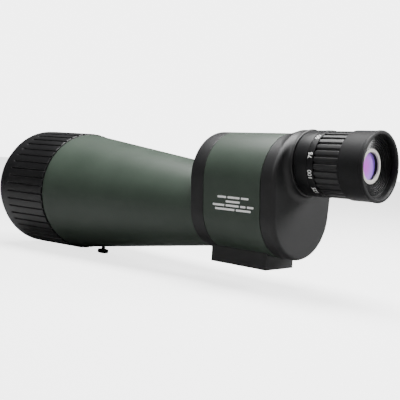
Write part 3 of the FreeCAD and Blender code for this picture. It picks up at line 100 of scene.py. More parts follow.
class Shader:
    """One node material: nodes are added by type, settings and the values of their sockets."""

    def __init__(self, name: str) -> None:
        """Makes an empty material with its output and a Principled BSDF."""
        self.material = bpy.data.materials.new(name)
        self.material.use_nodes = True
        self.tree = self.material.node_tree
        self.tree.nodes.clear()
        self.output = self.tree.nodes.new("ShaderNodeOutputMaterial")
        self.surface = self.tree.nodes.new("ShaderNodeBsdfPrincipled")
        self.tree.links.new(self.surface.outputs[0], self.output.inputs[0])
        self.place = self.node("ShaderNodeTexCoord", {}, {}, "Object")

    def node(self, kind: str, settings: dict, inputs: dict, output: str | int = 0) -> Value:
        """Adds a node.

        Args:
            kind: The node's type.
            settings: Its properties, set before its sockets.
            inputs: Values, numbers or colours by socket name or index.
            output: The name or index of the wanted output.

        Returns:
            The chosen output as a value.
        """
        made = self.tree.nodes.new(kind)
        for key, setting in settings.items():
            setattr(made, key, setting)
        for key, value in inputs.items():
            self.feed(made.inputs[key], value)
        return Value(self, made.outputs[output])

    def feed(self, socket: bpy.types.NodeSocket, value: "Value | float | tuple") -> None:
        """Links a value to a socket, or sets a plain number or colour on it."""
        if isinstance(value, Value):
            self.tree.links.new(value.socket, socket)
        elif isinstance(value, tuple) and len(value) == 3 and socket.type == "RGBA":
            socket.default_value = (*value, 1.0)
        else:
            socket.default_value = value

    def set(self, **inputs: "Value | float | tuple") -> None:
        """Feeds the Principled BSDF; underscores in the names stand for spaces."""
        for key, value in inputs.items():
            self.feed(self.surface.inputs[key.replace("_", " ")], value)

    def noise(self, scale: float, detail: float = 2.0, roughness: float = 0.5) -> Value:
        """Noise over the row frame; scale is in cells per metre."""
        inputs = {"Vector": self.place, "Scale": scale, "Detail": detail, "Roughness": roughness}
        return self.node("ShaderNodeTexNoise", {}, inputs, "Fac")

    def grain(self, scale: float) -> Value:
        """Fine pebble-like grain: the distance to the nearest cell centre."""
        inputs = {"Vector": self.place, "Scale": scale}
        return self.node("ShaderNodeTexVoronoi", {"feature": "F1"}, inputs, "Distance")

    def mix(self, factor: "Value | float", first: "Value | tuple", second: "Value | tuple") -> Value:
        """A colour between first and second."""
        mixer = self.tree.nodes.new("ShaderNodeMix")
        mixer.data_type = "RGBA"
        self.feed(mixer.inputs["Factor"], factor)
        self.feed(mixer.inputs[6], first)
        self.feed(mixer.inputs[7], second)
        return Value(self, mixer.outputs[2])

    def bump(self, height: Value, strength: float, distance: float) -> Value:
        """A normal from a height."""
        inputs = {"Height": height, "Strength": strength, "Distance": distance}
        return self.node("ShaderNodeBump", {}, inputs, "Normal")


# ---- finishes ------------------------------------------------------------------------------------------

Colour = tuple[float, float, float]

TOOL_MARKS = (40.0, 5200.0, 40.0)
CLOUD_SCALE = 38.0
SPECK_SCALE = 950.0
HANDLING_SCALE = 22.0
MOTTLED = (0.35, 0.7)
HANDLED = (0.42, 0.68)


@dataclass(frozen=True)
class Finish:
    """A moulded, painted or anodised surface.

    Attributes:
        name: The material's name.
        colour: Base colour.
        tint: Colour of the faint mottling.
        roughness: Mean roughness.
        metallic: 0 for rubber and paint, 1 for bare metal.
        grain: Grain cells per metre.
        depth: Height of the grain in metres.
        rub: How far handling has polished patches, as a change of roughness.
        specular: Strength of the surface reflection.
    """

    name: str
    colour: Colour
    tint: Colour
    roughness: float
    metallic: float = 0.0
    grain: float = 2600.0
    depth: float = 0.00004
    rub: float = 0.08
    specular: float = 0.25

    def material(self) -> bpy.types.Material:
        """Builds the node material."""
        shader = Shader(self.name)
        cloud = shader.noise(CLOUD_SCALE, 3.0)
        speck = shader.noise(SPECK_SCALE)
        blend = (cloud * 0.6 + speck * 0.4).ramp(*MOTTLED)
        handled = shader.noise(HANDLING_SCALE, 4.0).ramp(*HANDLED)
        relief = shader.grain(self.grain) * 0.6 + shader.noise(self.grain * 0.5, 3.0) * 0.4
        shader.set(
            Base_Color=shader.mix(blend, self.colour, self.tint),
            Roughness=self.roughness - handled * self.rub + speck * 0.05,
            Metallic=self.metallic,
            Specular_IOR_Level=self.specular,
            Normal=shader.bump(relief, 0.35, self.depth),
        )
        return shader.material


@dataclass(frozen=True)
class TurnedMetal(Finish):
    """A turned or machined metal surface with fine rings of tool marks about the optical axis."""

    def material(self) -> bpy.types.Material:
        """Builds the node material."""
        shader = Shader(self.name)
        settings = {"vector_type": "POINT"}
        stretched = shader.node("ShaderNodeMapping", settings, {"Vector": shader.place, "Scale": TOOL_MARKS})
        rings = {"Vector": stretched, "Scale": 1.0, "Detail": 2.0}
        marks = shader.node("ShaderNodeTexNoise", {}, rings, "Fac")
        cloud = shader.noise(60.0, 3.0).ramp(*MOTTLED)
        shader.set(
            Base_Color=shader.mix(cloud, self.colour, self.tint),
            Roughness=self.roughness + marks * 0.12 - cloud * self.rub,
            Metallic=self.metallic,
            Specular_IOR_Level=self.specular,
            Normal=shader.bump(marks, 0.3, self.depth),
        )
        return shader.material


@dataclass(frozen=True)
class PaintedCoatingReflection:
    """Glass seen from outside, with its coating's coloured reflection painted in and a painted glow.

    Attributes:
        name: The material's name.
        rim: Painted reflection colour of the coating toward the lens's edge.
        heart: Painted reflection colour at a spot toward -X of the lens's middle.
        painted_glow: Strength of the painted glow: the lens emits its painted reflection colour, though it
            is no lamp.
        axis_height: Height of the lens's axis.
        radius: Radius over which the colour changes.
    """

    name: str
    rim: Colour
    heart: Colour
    painted_glow: float
    axis_height: float
    radius: float

    def material(self) -> bpy.types.Material:
        """Builds the node material."""
        shader = Shader(self.name)
        settings = {"vector_type": "POINT"}
        # Painted reflection: the colour changes outward from a spot toward -X of the lens's axis.
        offset = (self.radius * 0.45, 0.0, -self.axis_height)
        centred = shader.node("ShaderNodeMapping", settings, {"Vector": shader.place, "Location": offset})
        across = {0: centred, 1: (1.0, 0.0, 1.0)}
        flat = shader.node("ShaderNodeVectorMath", {"operation": "MULTIPLY"}, across)
        length = shader.node("ShaderNodeVectorMath", {"operation": "LENGTH"}, {0: flat}, "Value")
        outward = length.ramp(self.radius * 0.15, self.radius * 1.5)
        colour = shader.mix(outward, self.heart, self.rim)
        # The painted reflection colour is both the base colour and a painted glow that the lens emits.
        shader.set(
            Base_Color=colour,
            Roughness=0.06 + shader.noise(60.0, 2.0) * 0.04,
            Metallic=0.0,
            Coat_Weight=1.0,
            Emission_Color=colour,
            Emission_Strength=self.painted_glow,
            Coat_Roughness=0.03,
            Specular_IOR_Level=0.8,
        )
        return shader.material


@dataclass(frozen=True)
class ClearGlass:
    """Uncoated optical glass deep inside the scope.

    Attributes:
        name: The material's name.
        colour: Base colour.
    """

    name: str
    colour: Colour

    def material(self) -> bpy.types.Material:
        """Builds the node material."""
        shader = Shader(self.name)
        haze = shader.noise(45.0, 2.0)
        shader.set(
            Base_Color=self.colour,
            Roughness=0.02 + haze * 0.03,
            Transmission_Weight=1.0,
            IOR=1.52,
        )
        return shader.material


class Surface(Enum):
    """Every finish on the scope; the value is the record's slot."""

    GREEN_ARMOUR = "green_armour"
    GREEN_BARREL = "green_barrel"
    BLACK_ARMOUR = "black_armour"
    GRIP_RUBBER = "grip_rubber"
    EYECUP_RUBBER = "eyecup_rubber"
    SEAL_RUBBER = "seal_rubber"
    BLACK_PLASTIC = "black_plastic"
    BLACK_ANODISED = "black_anodised"
    INNER_BLACK = "inner_black"
    SHADE_PAINT = "shade_paint"
    CAST_ALLOY = "cast_alloy"
    SCREW_STEEL = "screw_steel"
    SPRING_STEEL = "spring_steel"
    BUSHING_BRASS = "bushing_brass"
    LIGHT_RING = "light_ring"
    PRISM_GLASS = "prism_glass"
    LENS_GLASS = "lens_glass"
    FRONT_COATING = "coated_front_glass"
    EYE_COATING = "coated_eye_glass"


GREEN = (0.027, 0.040, 0.029)
GREEN_TINT = (0.032, 0.047, 0.034)
BLACK = (0.0035, 0.0035, 0.004)
BLACK_TINT = (0.0055, 0.0055, 0.006)
# Painted reflection colours of the lens coatings, from edge to middle: violet and magenta on the eye lens,
# dark greens on the front lens.
PAINTED_VIOLET_REFLECTION_EDGE = (0.30, 0.22, 0.85)
PAINTED_MAGENTA_REFLECTION_MIDDLE = (0.55, 0.10, 0.68)
PAINTED_FRONT_REFLECTION_EDGE = (0.010, 0.035, 0.022)
PAINTED_FRONT_REFLECTION_MIDDLE = (0.004, 0.012, 0.010)

GREEN_LOOK = {"rub": 0.05, "specular": 0.45}
STEEL = (0.42, 0.42, 0.43)
STEEL_TINT = (0.5, 0.5, 0.51)
SPRING = (0.4, 0.4, 0.41)
SPRING_TINT = (0.46, 0.46, 0.47)
BRASS = (0.62, 0.45, 0.2)
BRASS_TINT = (0.7, 0.53, 0.26)
ALLOY = (0.09, 0.09, 0.095)
ALLOY_TINT = (0.13, 0.13, 0.135)
SHADE = (0.10, 0.10, 0.105)
SHADE_TINT = (0.12, 0.12, 0.125)
PALE = (0.52, 0.50, 0.47)
PALE_TINT = (0.6, 0.58, 0.55)


def painted_coating_reflection(name: str, node: str, rim: Colour, heart: Colour, painted_glow: float) -> PaintedCoatingReflection:
    """The painted coating reflection and painted glow of a lens, centred on the lens's CAD node."""
    low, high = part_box(node)
    return PaintedCoatingReflection(name, rim, heart, painted_glow, (low.z + high.z) / 2, (high.x - low.x) / 2)


FINISHES = {
    Surface.GREEN_ARMOUR: Finish("green_armour", GREEN, GREEN_TINT, 0.50, depth=0.00003, **GREEN_LOOK),
    Surface.GREEN_BARREL: Finish(
        "green_barrel", GREEN, GREEN_TINT, 0.46, grain=3400.0, depth=0.00002, **GREEN_LOOK
    ),
    Surface.BLACK_ARMOUR: Finish(
        "black_armour", BLACK, BLACK_TINT, 0.5, depth=0.00002, rub=0.06, specular=0.45
    ),
    Surface.GRIP_RUBBER: Finish("grip_rubber", BLACK, BLACK_TINT, 0.42, depth=0.00002, specular=0.5),
    Surface.EYECUP_RUBBER: Finish("eyecup_rubber", BLACK, BLACK_TINT, 0.55, grain=2200.0),
    Surface.SEAL_RUBBER: Finish("seal_rubber", (0.008, 0.008, 0.008), BLACK, 0.5),
    Surface.BLACK_PLASTIC: Finish("black_plastic", BLACK, BLACK_TINT, 0.4),
    Surface.BLACK_ANODISED: TurnedMetal("black_anodised", BLACK, BLACK_TINT, 0.4),
    Surface.INNER_BLACK: TurnedMetal("inner_black", BLACK, BLACK_TINT, 0.38, specular=0.3),
    Surface.SHADE_PAINT: Finish("shade_paint", SHADE, SHADE_TINT, 0.38),
    Surface.CAST_ALLOY: Finish("cast_alloy", ALLOY, ALLOY_TINT, 0.5, metallic=0.6, depth=0.0001),
    Surface.SCREW_STEEL: TurnedMetal("screw_steel", STEEL, STEEL_TINT, 0.3, metallic=1.0),
    Surface.SPRING_STEEL: TurnedMetal("spring_steel", SPRING, SPRING_TINT, 0.32, metallic=1.0),
    Surface.BUSHING_BRASS: TurnedMetal("bushing_brass", BRASS, BRASS_TINT, 0.3, metallic=1.0),
    Surface.LIGHT_RING: Finish("light_ring", PALE, PALE_TINT, 0.42, grain=3000.0),
    Surface.PRISM_GLASS: ClearGlass("prism_glass", (0.86, 0.95, 0.92)),
    Surface.LENS_GLASS: ClearGlass("lens_glass", (0.9, 0.94, 0.96)),
    Surface.FRONT_COATING: painted_coating_reflection("coated_front_glass", "crown_lens", PAINTED_FRONT_REFLECTION_EDGE, PAINTED_FRONT_REFLECTION_MIDDLE, 0.0),
    Surface.EYE_COATING: painted_coating_reflection("coated_eye_glass", "eye_lens", PAINTED_VIOLET_REFLECTION_EDGE, PAINTED_MAGENTA_REFLECTION_MIDDLE, 0.22),
}
PRINT = Finish("white_print", (0.82, 0.82, 0.8), (0.86, 0.86, 0.85), 0.5, depth=0.00001)


class Paints:
    """Hands out the material of each finish, made once."""

    def __init__(self) -> None:
        """Starts with nothing made."""
        self.made: dict[Surface, bpy.types.Material] = {}
        self.print_made: bpy.types.Material | None = None

    def of(self, surface: Surface) -> bpy.types.Material:
        """The material of one finish."""
        if surface not in self.made:
            self.made[surface] = FINISHES[surface].material()
        return self.made[surface]

    def white_print(self) -> bpy.types.Material:
        """The white ink of the numbers and the bars."""
        if self.print_made is None:
            self.print_made = PRINT.material()
        return self.print_made


PAINTS = Paints()


# ---- meshes --------------------------------------------------------------------------------------------

SHARP_ANGLE = math.radians(42)
ROUND_STEPS = 5
ROUND_LIMIT = 0.48
LENS_STEPS = 12
SAME_POINT = 1e-7


def rounded(corners: list[tuple[float, float, float]]) -> list[tuple[float, float]]:
    """Rounds the corners of a closed polygon.

    Args:
        corners: First coordinate, second coordinate and rounding radius of each corner.

    Returns:
        The points of the rounded polygon, in the same order.
    """
    points = []
    for place, (x, y, radius) in enumerate(corners):
        here = Vector((x, y))
        back = Vector(corners[place - 1][:2]) - here
        ahead = Vector(corners[(place + 1) % len(corners)][:2]) - here
        if radius <= 0.0:
            points.append((x, y))
            continue
        turn = back.angle(ahead) / 2
        reach = min(radius / math.tan(turn), ROUND_LIMIT * back.length, ROUND_LIMIT * ahead.length)
        first = here + back.normalized() * reach
        last = here + ahead.normalized() * reach
        for step in range(ROUND_STEPS + 1):
            share = step / ROUND_STEPS
            bend = first * (1 - share) ** 2 + here * 2 * share * (1 - share) + last * share**2
            points.append((bend.x, bend.y))
    return points


def finished(name: str, builder: bmesh.types.BMesh, material: bpy.types.Material) -> bpy.types.Object:
    """Turns a bmesh into a smooth-shaded object with outward normals.

    Args:
        name: The piece's name.
        builder: The mesh, which is freed.
        material: The piece's finish.

    Returns:
        The object, at the origin and linked to the scene.
    """
    bmesh.ops.remove_doubles(builder, verts=builder.verts, dist=SAME_POINT)
    bmesh.ops.recalc_face_normals(builder, faces=builder.faces)
    mesh = bpy.data.meshes.new(name)
    builder.to_mesh(mesh)
    builder.free()
    mesh.shade_smooth()
    mesh.set_sharp_from_angle(angle=SHARP_ANGLE)
    mesh.materials.append(material)
    piece = bpy.data.objects.new(name, mesh)
    bpy.context.scene.collection.objects.link(piece)
    return piece


def skin(
    builder: bmesh.types.BMesh, rows: list[list[Vector]], wrap: bool = True, closed: bool = True
) -> None:
    """Joins rows of points with quads.

    Args:
        builder: The mesh that gets the faces.
        rows: Rows of equally many points.
        wrap: Whether the last row joins the first.
        closed: Whether each row's last point joins its first.
    """
    grid = [[builder.verts.new(point) for point in row] for row in rows]
    row_pairs = list(zip(grid, grid[1:] + grid[:1])) if wrap else list(zip(grid, grid[1:]))
    for row, following in row_pairs:
        count = len(row)
        for place in range(count if closed else count - 1):
            ahead = (place + 1) % count
            builder.faces.new((row[place], row[ahead], following[ahead], following[place]))


def slab(builder: bmesh.types.BMesh, first: list[Vector], second: list[Vector]) -> None:
    """Adds a closed slab between two equal outlines."""
    skin(builder, [first, second], wrap=False)
    for outline in (first, second):
        builder.faces.new([builder.verts.new(point) for point in outline])


@dataclass(frozen=True)
class Axis:
    """An axis parallel to the optical axis, given by its height.

    Attributes:
        height: Height above the foot's face, in metres.
    """

    height: float

    def at(self, radius: float, along: float, angle: float) -> Vector:
        """A point in the row frame; angle 0 is up and grows toward the user's right."""
        return Vector((radius * math.sin(angle), along, self.height + radius * math.cos(angle)))


OBJECTIVE = Axis(FINISHES[Surface.FRONT_COATING].axis_height)
EYEPIECE = Axis(FINISHES[Surface.EYE_COATING].axis_height)


def placed(spot: Vector, along: float) -> Vector:
    """A point of a cross-section in millimetres, as (x, z), placed along the optical axis in metres."""
    return Vector((spot.x * MM, along * MM, spot.y * MM))


def lathe(
    name: str,
    axis: Axis,
    corners: list[tuple[float, float, float]],
    material: bpy.types.Material,
    segments: int = 224,
) -> bpy.types.Object:
    """Turns a closed profile about an axis.

    Args:
        name: The piece's name.
        axis: The axis of turning.
        corners: Place along the axis, radius and rounding of each corner, in millimetres.
        material: The finish.
        segments: Facets round the axis.

    Returns:
        The piece.
    """
    profile = rounded(corners)
    builder = bmesh.new()
    angles = [math.tau * step / segments for step in range(segments)]
    rows = [[axis.at(radius * MM, along * MM, angle) for angle in angles] for along, radius in profile]
    skin(builder, rows)
    bmesh.ops.remove_doubles(builder, verts=builder.verts, dist=SAME_POINT)
    bmesh.ops.dissolve_degenerate(builder, edges=builder.edges, dist=SAME_POINT / 10)
    return finished(name, builder, material)


class PolarArray:
    """Geometry nodes that repeat one sector of a ring round its axis."""

    def __init__(self) -> None:
        """Builds the node group with its named inputs."""
        tree = bpy.data.node_groups.new("polar_array", "GeometryNodeTree")
        self.tree = tree
        tree.interface.new_socket("Sector", in_out="INPUT", socket_type="NodeSocketGeometry")
        tree.interface.new_socket("Count", in_out="INPUT", socket_type="NodeSocketInt")
        tree.interface.new_socket("Axis Place", in_out="INPUT", socket_type="NodeSocketVector")
        tree.interface.new_socket("Finish", in_out="INPUT", socket_type="NodeSocketMaterial")
        tree.interface.new_socket("Ring", in_out="OUTPUT", socket_type="NodeSocketGeometry")
        given = tree.nodes.new("NodeGroupInput")
        result = tree.nodes.new("NodeGroupOutput")
        points = tree.nodes.new("GeometryNodePoints")
        index = tree.nodes.new("GeometryNodeInputIndex")
        pitch = self.maths("DIVIDE")
        pitch.inputs[0].default_value = math.tau
        turn = self.maths("MULTIPLY")
        angles = tree.nodes.new("ShaderNodeCombineXYZ")
        place = tree.nodes.new("GeometryNodeInstanceOnPoints")
        realize = tree.nodes.new("GeometryNodeRealizeInstances")
        paint = tree.nodes.new("GeometryNodeSetMaterial")
        for source, target in (
            (given.outputs["Count"], points.inputs["Count"]),
            (given.outputs["Axis Place"], points.inputs["Position"]),
            (given.outputs["Count"], pitch.inputs[1]),
            (index.outputs[0], turn.inputs[0]),
            (pitch.outputs[0], turn.inputs[1]),
            (turn.outputs[0], angles.inputs["Y"]),
            (points.outputs[0], place.inputs["Points"]),
            (given.outputs["Sector"], place.inputs["Instance"]),
            (angles.outputs[0], place.inputs["Rotation"]),
            (place.outputs[0], realize.inputs[0]),
            (realize.outputs[0], paint.inputs["Geometry"]),
            (given.outputs["Finish"], paint.inputs["Material"]),
            (paint.outputs[0], result.inputs[0]),
        ):
            tree.links.new(source, target)

    def maths(self, operation: str) -> bpy.types.Node:
        """Adds a Math node."""
        made = self.tree.nodes.new("ShaderNodeMath")
        made.operation = operation
        return made

    def repeat(
        self, name: str, sector: bmesh.types.BMesh, count: int, axis: Axis, material: bpy.types.Material
    ) -> bpy.types.Object:
        """Repeats a sector and joins the copies into one mesh.

        Args:
            name: The piece's name.
            sector: One sector, modelled with its axis through the origin.
            count: How many sectors make the ring.
            axis: The ring's axis.
            material: The ring's finish.

        Returns:
            The ring.
        """
        seed = finished(name + "_sector", sector, material)
        modifier = seed.modifiers.new("array", "NODES")
        modifier.node_group = self.tree
        values = {"Count": count, "Axis Place": (0.0, 0.0, axis.height), "Finish": material}
        for item in self.tree.interface.items_tree:
            if item.name in values:
                modifier[item.identifier] = values[item.name]
        seed.update_tag()
        bpy.context.view_layer.update()
        graph = bpy.context.evaluated_depsgraph_get()
        mesh = bpy.data.meshes.new_from_object(seed.evaluated_get(graph), depsgraph=graph)
        joined = bmesh.new()
        joined.from_mesh(mesh)
        bmesh.ops.remove_doubles(joined, verts=joined.verts, dist=2 * SAME_POINT)
        bpy.data.meshes.remove(mesh)
        bpy.data.objects.remove(seed)
        return finished(name, joined, material)


CREST_SHARES = (0.0, 0.3, 0.55, 0.75, 0.88, 0.95, 1.0)
FLANK_SHARES = (0.15, 0.3, 0.45, 0.6, 0.8, 1.0)
RING_STEP = 0.7


@dataclass(frozen=True)
class Ribs:
    """The ribs of a ribbed ring.

    Attributes:
        count: How many ribs.
        groove_width: Width of each groove at the surface, in millimetres.
        groove_depth: Depth of each groove.
        front: Where the grooves end along the axis; they run out through the ring's rear.
        run_out: Length over which a groove narrows and comes up to the surface.
        crown: How much each rib is domed between its grooves.
        narrow: Share of a groove's width that is left where it runs out.
        slope: Share of a groove's half width that its wall takes up.
    """

    count: int
    groove_width: float
    groove_depth: float
    front: float
    run_out: float
    crown: float = 0.12
    narrow: float = 0.25
    slope: float = 0.6

    def depth(self, angle: float, along: float, radius: float) -> float:
        """Depth below the ring's surface, at an angle from the middle of a rib."""
        pitch = math.tau / self.count
        from_groove = (pitch / 2 - abs(angle)) * radius
        ahead = min(max((self.front - along) / self.run_out, 0.0), 1.0)
        share = math.sin(ahead * math.pi / 2)
        reach = self.groove_width / 2 * (self.narrow + (1 - self.narrow) * share)
        wall = min(max((reach - from_groove) / (reach * self.slope), 0.0), 1.0)
        dome = (abs(angle) / (pitch / 2)) ** 2 * self.crown
        return (self.groove_depth * wall * wall * (3 - 2 * wall) + dome) * share

    def angles(self, radius: float) -> list[float]:
        """Angles across one rib, closer together at its edges."""
        half = math.pi / self.count
        edge = self.groove_width / 2 / radius
        inner = [(half - edge) * share for share in CREST_SHARES]
        flank = [half - edge + edge * share for share in FLANK_SHARES]
        one_side = inner + flank
        return [-angle for angle in reversed(one_side[1:])] + one_side


def ribbed_ring(
    name: str,
    axis: Axis,
    outer: list[tuple[float, float, float]],
    inner: list[tuple[float, float, float]],
    ribs: Ribs,
    material: bpy.types.Material,
    array: PolarArray,
) -> bpy.types.Object:
    """Builds a ring whose outer surface has lengthwise grooves.

    Args:
        name: The piece's name.
        axis: The ring's axis.
        outer: Outer corners from rear to front: place, radius, rounding, in millimetres.
        inner: Inner corners from front to rear.
        ribs: The ring's ribs.
        material: The ring's finish.
        array: The node group that repeats the sector.

    Returns:
        The ring.
    """
    profile = rounded(outer + inner)
    split = []
    for place, (along, radius) in enumerate(profile):
        following = profile[(place + 1) % len(profile)]
        pieces = max(1, int(abs(following[0] - along) / RING_STEP))
        for piece in range(pieces):
            share = piece / pieces
            split.append((along + (following[0] - along) * share, radius + (following[1] - radius) * share))
    mean = (outer[0][1] + inner[0][1]) / 2
    centred = Axis(0.0)
    rows = []
    for along, radius in split:
        row = []
        for angle in ribs.angles(outer[0][1]):
            sunk = ribs.depth(angle, along, radius) if radius > mean else 0.0
            row.append(centred.at((radius - sunk) * MM, along * MM, angle))
        rows.append(row)
    sector = bmesh.new()
    skin(sector, rows, closed=False)
    return array.repeat(name, sector, ribs.count, axis, material)


# ---- hull-shaped shells --------------------------------------------------------------------------------


@dataclass(frozen=True)
class Hull:
    """The housing's outline across the optical axis: two arcs joined by straight sides.

    Attributes:
        top_height: Height of the top arc's centre, in millimetres.
        top_radius: Its radius.
        bottom_height: Height of the bottom arc's centre.
        bottom_radius: Its radius.
    """

    top_height: float = 64.6
    top_radius: float = 35.6
    bottom_height: float = 42.6
    bottom_radius: float = 34.0

    def outline(self, steps: int = 96, side_steps: int = 14) -> list[tuple[Vector, Vector]]:
        """Points round the outline with their outward normals, as pairs of (x, z)."""
        rise = self.top_height - self.bottom_height
        side = math.asin((self.bottom_radius - self.top_radius) / rise)
        found = []
        for step in range(steps + 1):
            angle = side + (math.pi - 2 * side) * step / steps
            found.append(self.support(angle, self.top_height, self.top_radius))
        for step in range(1, side_steps):
            found.append(self.between(math.pi - side, step / side_steps))
        for step in range(steps + 1):
            angle = math.pi - side + (math.pi + 2 * side) * step / steps
            found.append(self.support(angle, self.bottom_height, self.bottom_radius))
        for step in range(1, side_steps):
            found.append(self.between(side, 1 - step / side_steps))
        return found

    def support(self, angle: float, height: float, radius: float) -> tuple[Vector, Vector]:
        """The point of an arc at an angle, and its normal."""
        normal = Vector((math.cos(angle), math.sin(angle)))
        return Vector((0.0, height)) + normal * radius, normal

    def between(self, angle: float, share: float) -> tuple[Vector, Vector]:
        """A point of a straight side, share of the way from the top arc to the bottom arc."""
        top, normal = self.support(angle, self.top_height, self.top_radius)
        bottom, _ = self.support(angle, self.bottom_height, self.bottom_radius)
        return top.lerp(bottom, share), normal

    def distance(self, x: np.ndarray, z: np.ndarray) -> np.ndarray:
        """Signed distance from the outline, negative inside."""
        rise = self.top_height - self.bottom_height
        lean = (self.bottom_radius - self.top_radius) / rise
        upright = math.sqrt(1 - lean * lean)
        across = np.abs(x)
        up = z - self.bottom_height
        along = -lean * across + upright * up
        low = np.hypot(across, up) - self.bottom_radius
        high = np.hypot(across, up - rise) - self.top_radius
        flat = across * upright + up * lean - self.bottom_radius
        return np.where(along < 0, low, np.where(along > upright * rise, high, flat))


def hull_shell(
    name: str, hull: Hull, corners: list[tuple[float, float, float]], material: bpy.types.Material
) -> bpy.types.Object:
    """Sweeps a closed profile round the housing's outline.

    Args:
        name: The piece's name.
        hull: The outline.
        corners: Place along the optical axis, distance inside the outline and rounding, in millimetres.
        material: The finish.

    Returns:
        The shell.
    """
    outline = hull.outline()
    builder = bmesh.new()
    skin(builder, [[placed(p - n * inset, along) for p, n in outline] for along, inset in rounded(corners)])
    return finished(name, builder, material)


# ---- blended solids ------------------------------------------------------------------------------------


def surface_net(
    distance: Callable[[np.ndarray, np.ndarray, np.ndarray], np.ndarray],
    low: tuple[float, float, float],
    high: tuple[float, float, float],
    step: float,
) -> tuple[np.ndarray, np.ndarray]:
    """Meshes the zero surface of a distance field with quads.

    Args:
        distance: Signed distance at x, y and z, in millimetres.
        low: Lowest corner of the box searched.
        high: Highest corner.
        step: Grid spacing.

    Returns:
        Points and quads.
    """
    lines = [np.arange(start, stop + step, step) for start, stop in zip(low, high)]
    values = distance(*np.meshgrid(*lines, indexing="ij"))
    inside = values < 0
    cells = tuple(size - 1 for size in values.shape)
    total = np.zeros((*cells, 3))
    crossings = np.zeros(cells)
    offsets = [(a, b) for a in (0, 1) for b in (0, 1)]
    for axis in range(3):
        for offset in offsets:
            shift = list(offset)
            shift.insert(axis, 0)
            near = tuple(slice(move, move + size) for move, size in zip(shift, cells))
            shift[axis] = 1
            far = tuple(slice(move, move + size) for move, size in zip(shift, cells))
            crossed = inside[near] != inside[far]
            gap = np.where(crossed, values[near] - values[far], 1.0)
            share = np.where(crossed, values[near] / gap, 0.0)
            for other in range(3):
                place = share if other == axis else float(shift[other])
                total[..., other] += np.where(crossed, place, 0.0)
            crossings += crossed
    active = crossings > 0
    numbers = np.full(cells, -1)
    numbers[active] = np.arange(active.sum())
    origin = np.argwhere(active)
    points = (origin + total[active] / crossings[active][:, None]) * step + np.array(low)
    quads = []
    for axis in range(3):
        first, second = [other for other in range(3) if other != axis]
        near = [slice(1, -1)] * 3
        near[axis] = slice(0, -1)
        far = list(near)
        far[axis] = slice(1, None)
        edges = np.argwhere(inside[tuple(near)] != inside[tuple(far)])
        edges[:, first] += 1
        edges[:, second] += 1
        around = []
        for back in ((0, 0), (1, 0), (1, 1), (0, 1)):
            cell = edges.copy()
            cell[:, first] -= back[0]
            cell[:, second] -= back[1]
            around.append(numbers[tuple(cell.T)])
        quads.append(np.stack(around, 1))
    return points, np.concatenate(quads)


SETTLE_ROUNDS = 4
SETTLE_PROBE = 0.01
SETTLE_REACH = 0.4
FLATTEST = 0.25


def settled(distance: Callable[..., np.ndarray], points: np.ndarray) -> np.ndarray:
    """Moves points along the distance's gradient until they lie on its zero surface."""
    for _ in range(SETTLE_ROUNDS):
        value = distance(*points.T)
        slopes = []
        for axis in range(3):
            ahead = points.copy()
            ahead[:, axis] += SETTLE_PROBE
            slopes.append((distance(*ahead.T) - value) / SETTLE_PROBE)
        slope = np.stack(slopes, 1)
        size = np.maximum((slope**2).sum(1), FLATTEST)
        move = np.clip(value / size, -SETTLE_REACH, SETTLE_REACH)
        points = points - slope * move[:, None]
    return points


SMALLEST_BLEND = 1e-6


def smooth_union(first: np.ndarray, second: np.ndarray, blend: np.ndarray) -> np.ndarray:
    """Joins two distance fields with a fillet."""
    share = np.maximum(blend - np.abs(first - second), 0.0) / np.maximum(blend, SMALLEST_BLEND)
    return np.minimum(first, second) - share * share * blend / 4


def rounded_edge(first: np.ndarray, second: np.ndarray, radius: float) -> np.ndarray:
    """Intersects two distance fields with a rounded edge."""
    a = first + radius
    b = second + radius
    return np.minimum(np.maximum(a, b), 0.0) + np.hypot(np.maximum(a, 0), np.maximum(b, 0)) - radius


# ---- sub-assemblies ------------------------------------------------------------------------------------


class SubAssembly:
    """A group of pieces that ride one body."""

    body: str = "scope_body"

    def add(self, piece: bpy.types.Object, surface: Surface, *nodes: str) -> bpy.types.Object:
        """Puts a piece on the group's body.

        Args:
            piece: The finished piece.
            surface: Its finish; not used.
            nodes: The CAD nodes it stands for.

        Returns:
            The piece.
        """
        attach(piece, self.body)
        if nodes:
            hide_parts(*nodes)
        LOG.info("%s: %d faces", piece.name, len(piece.data.polygons))
        return piece


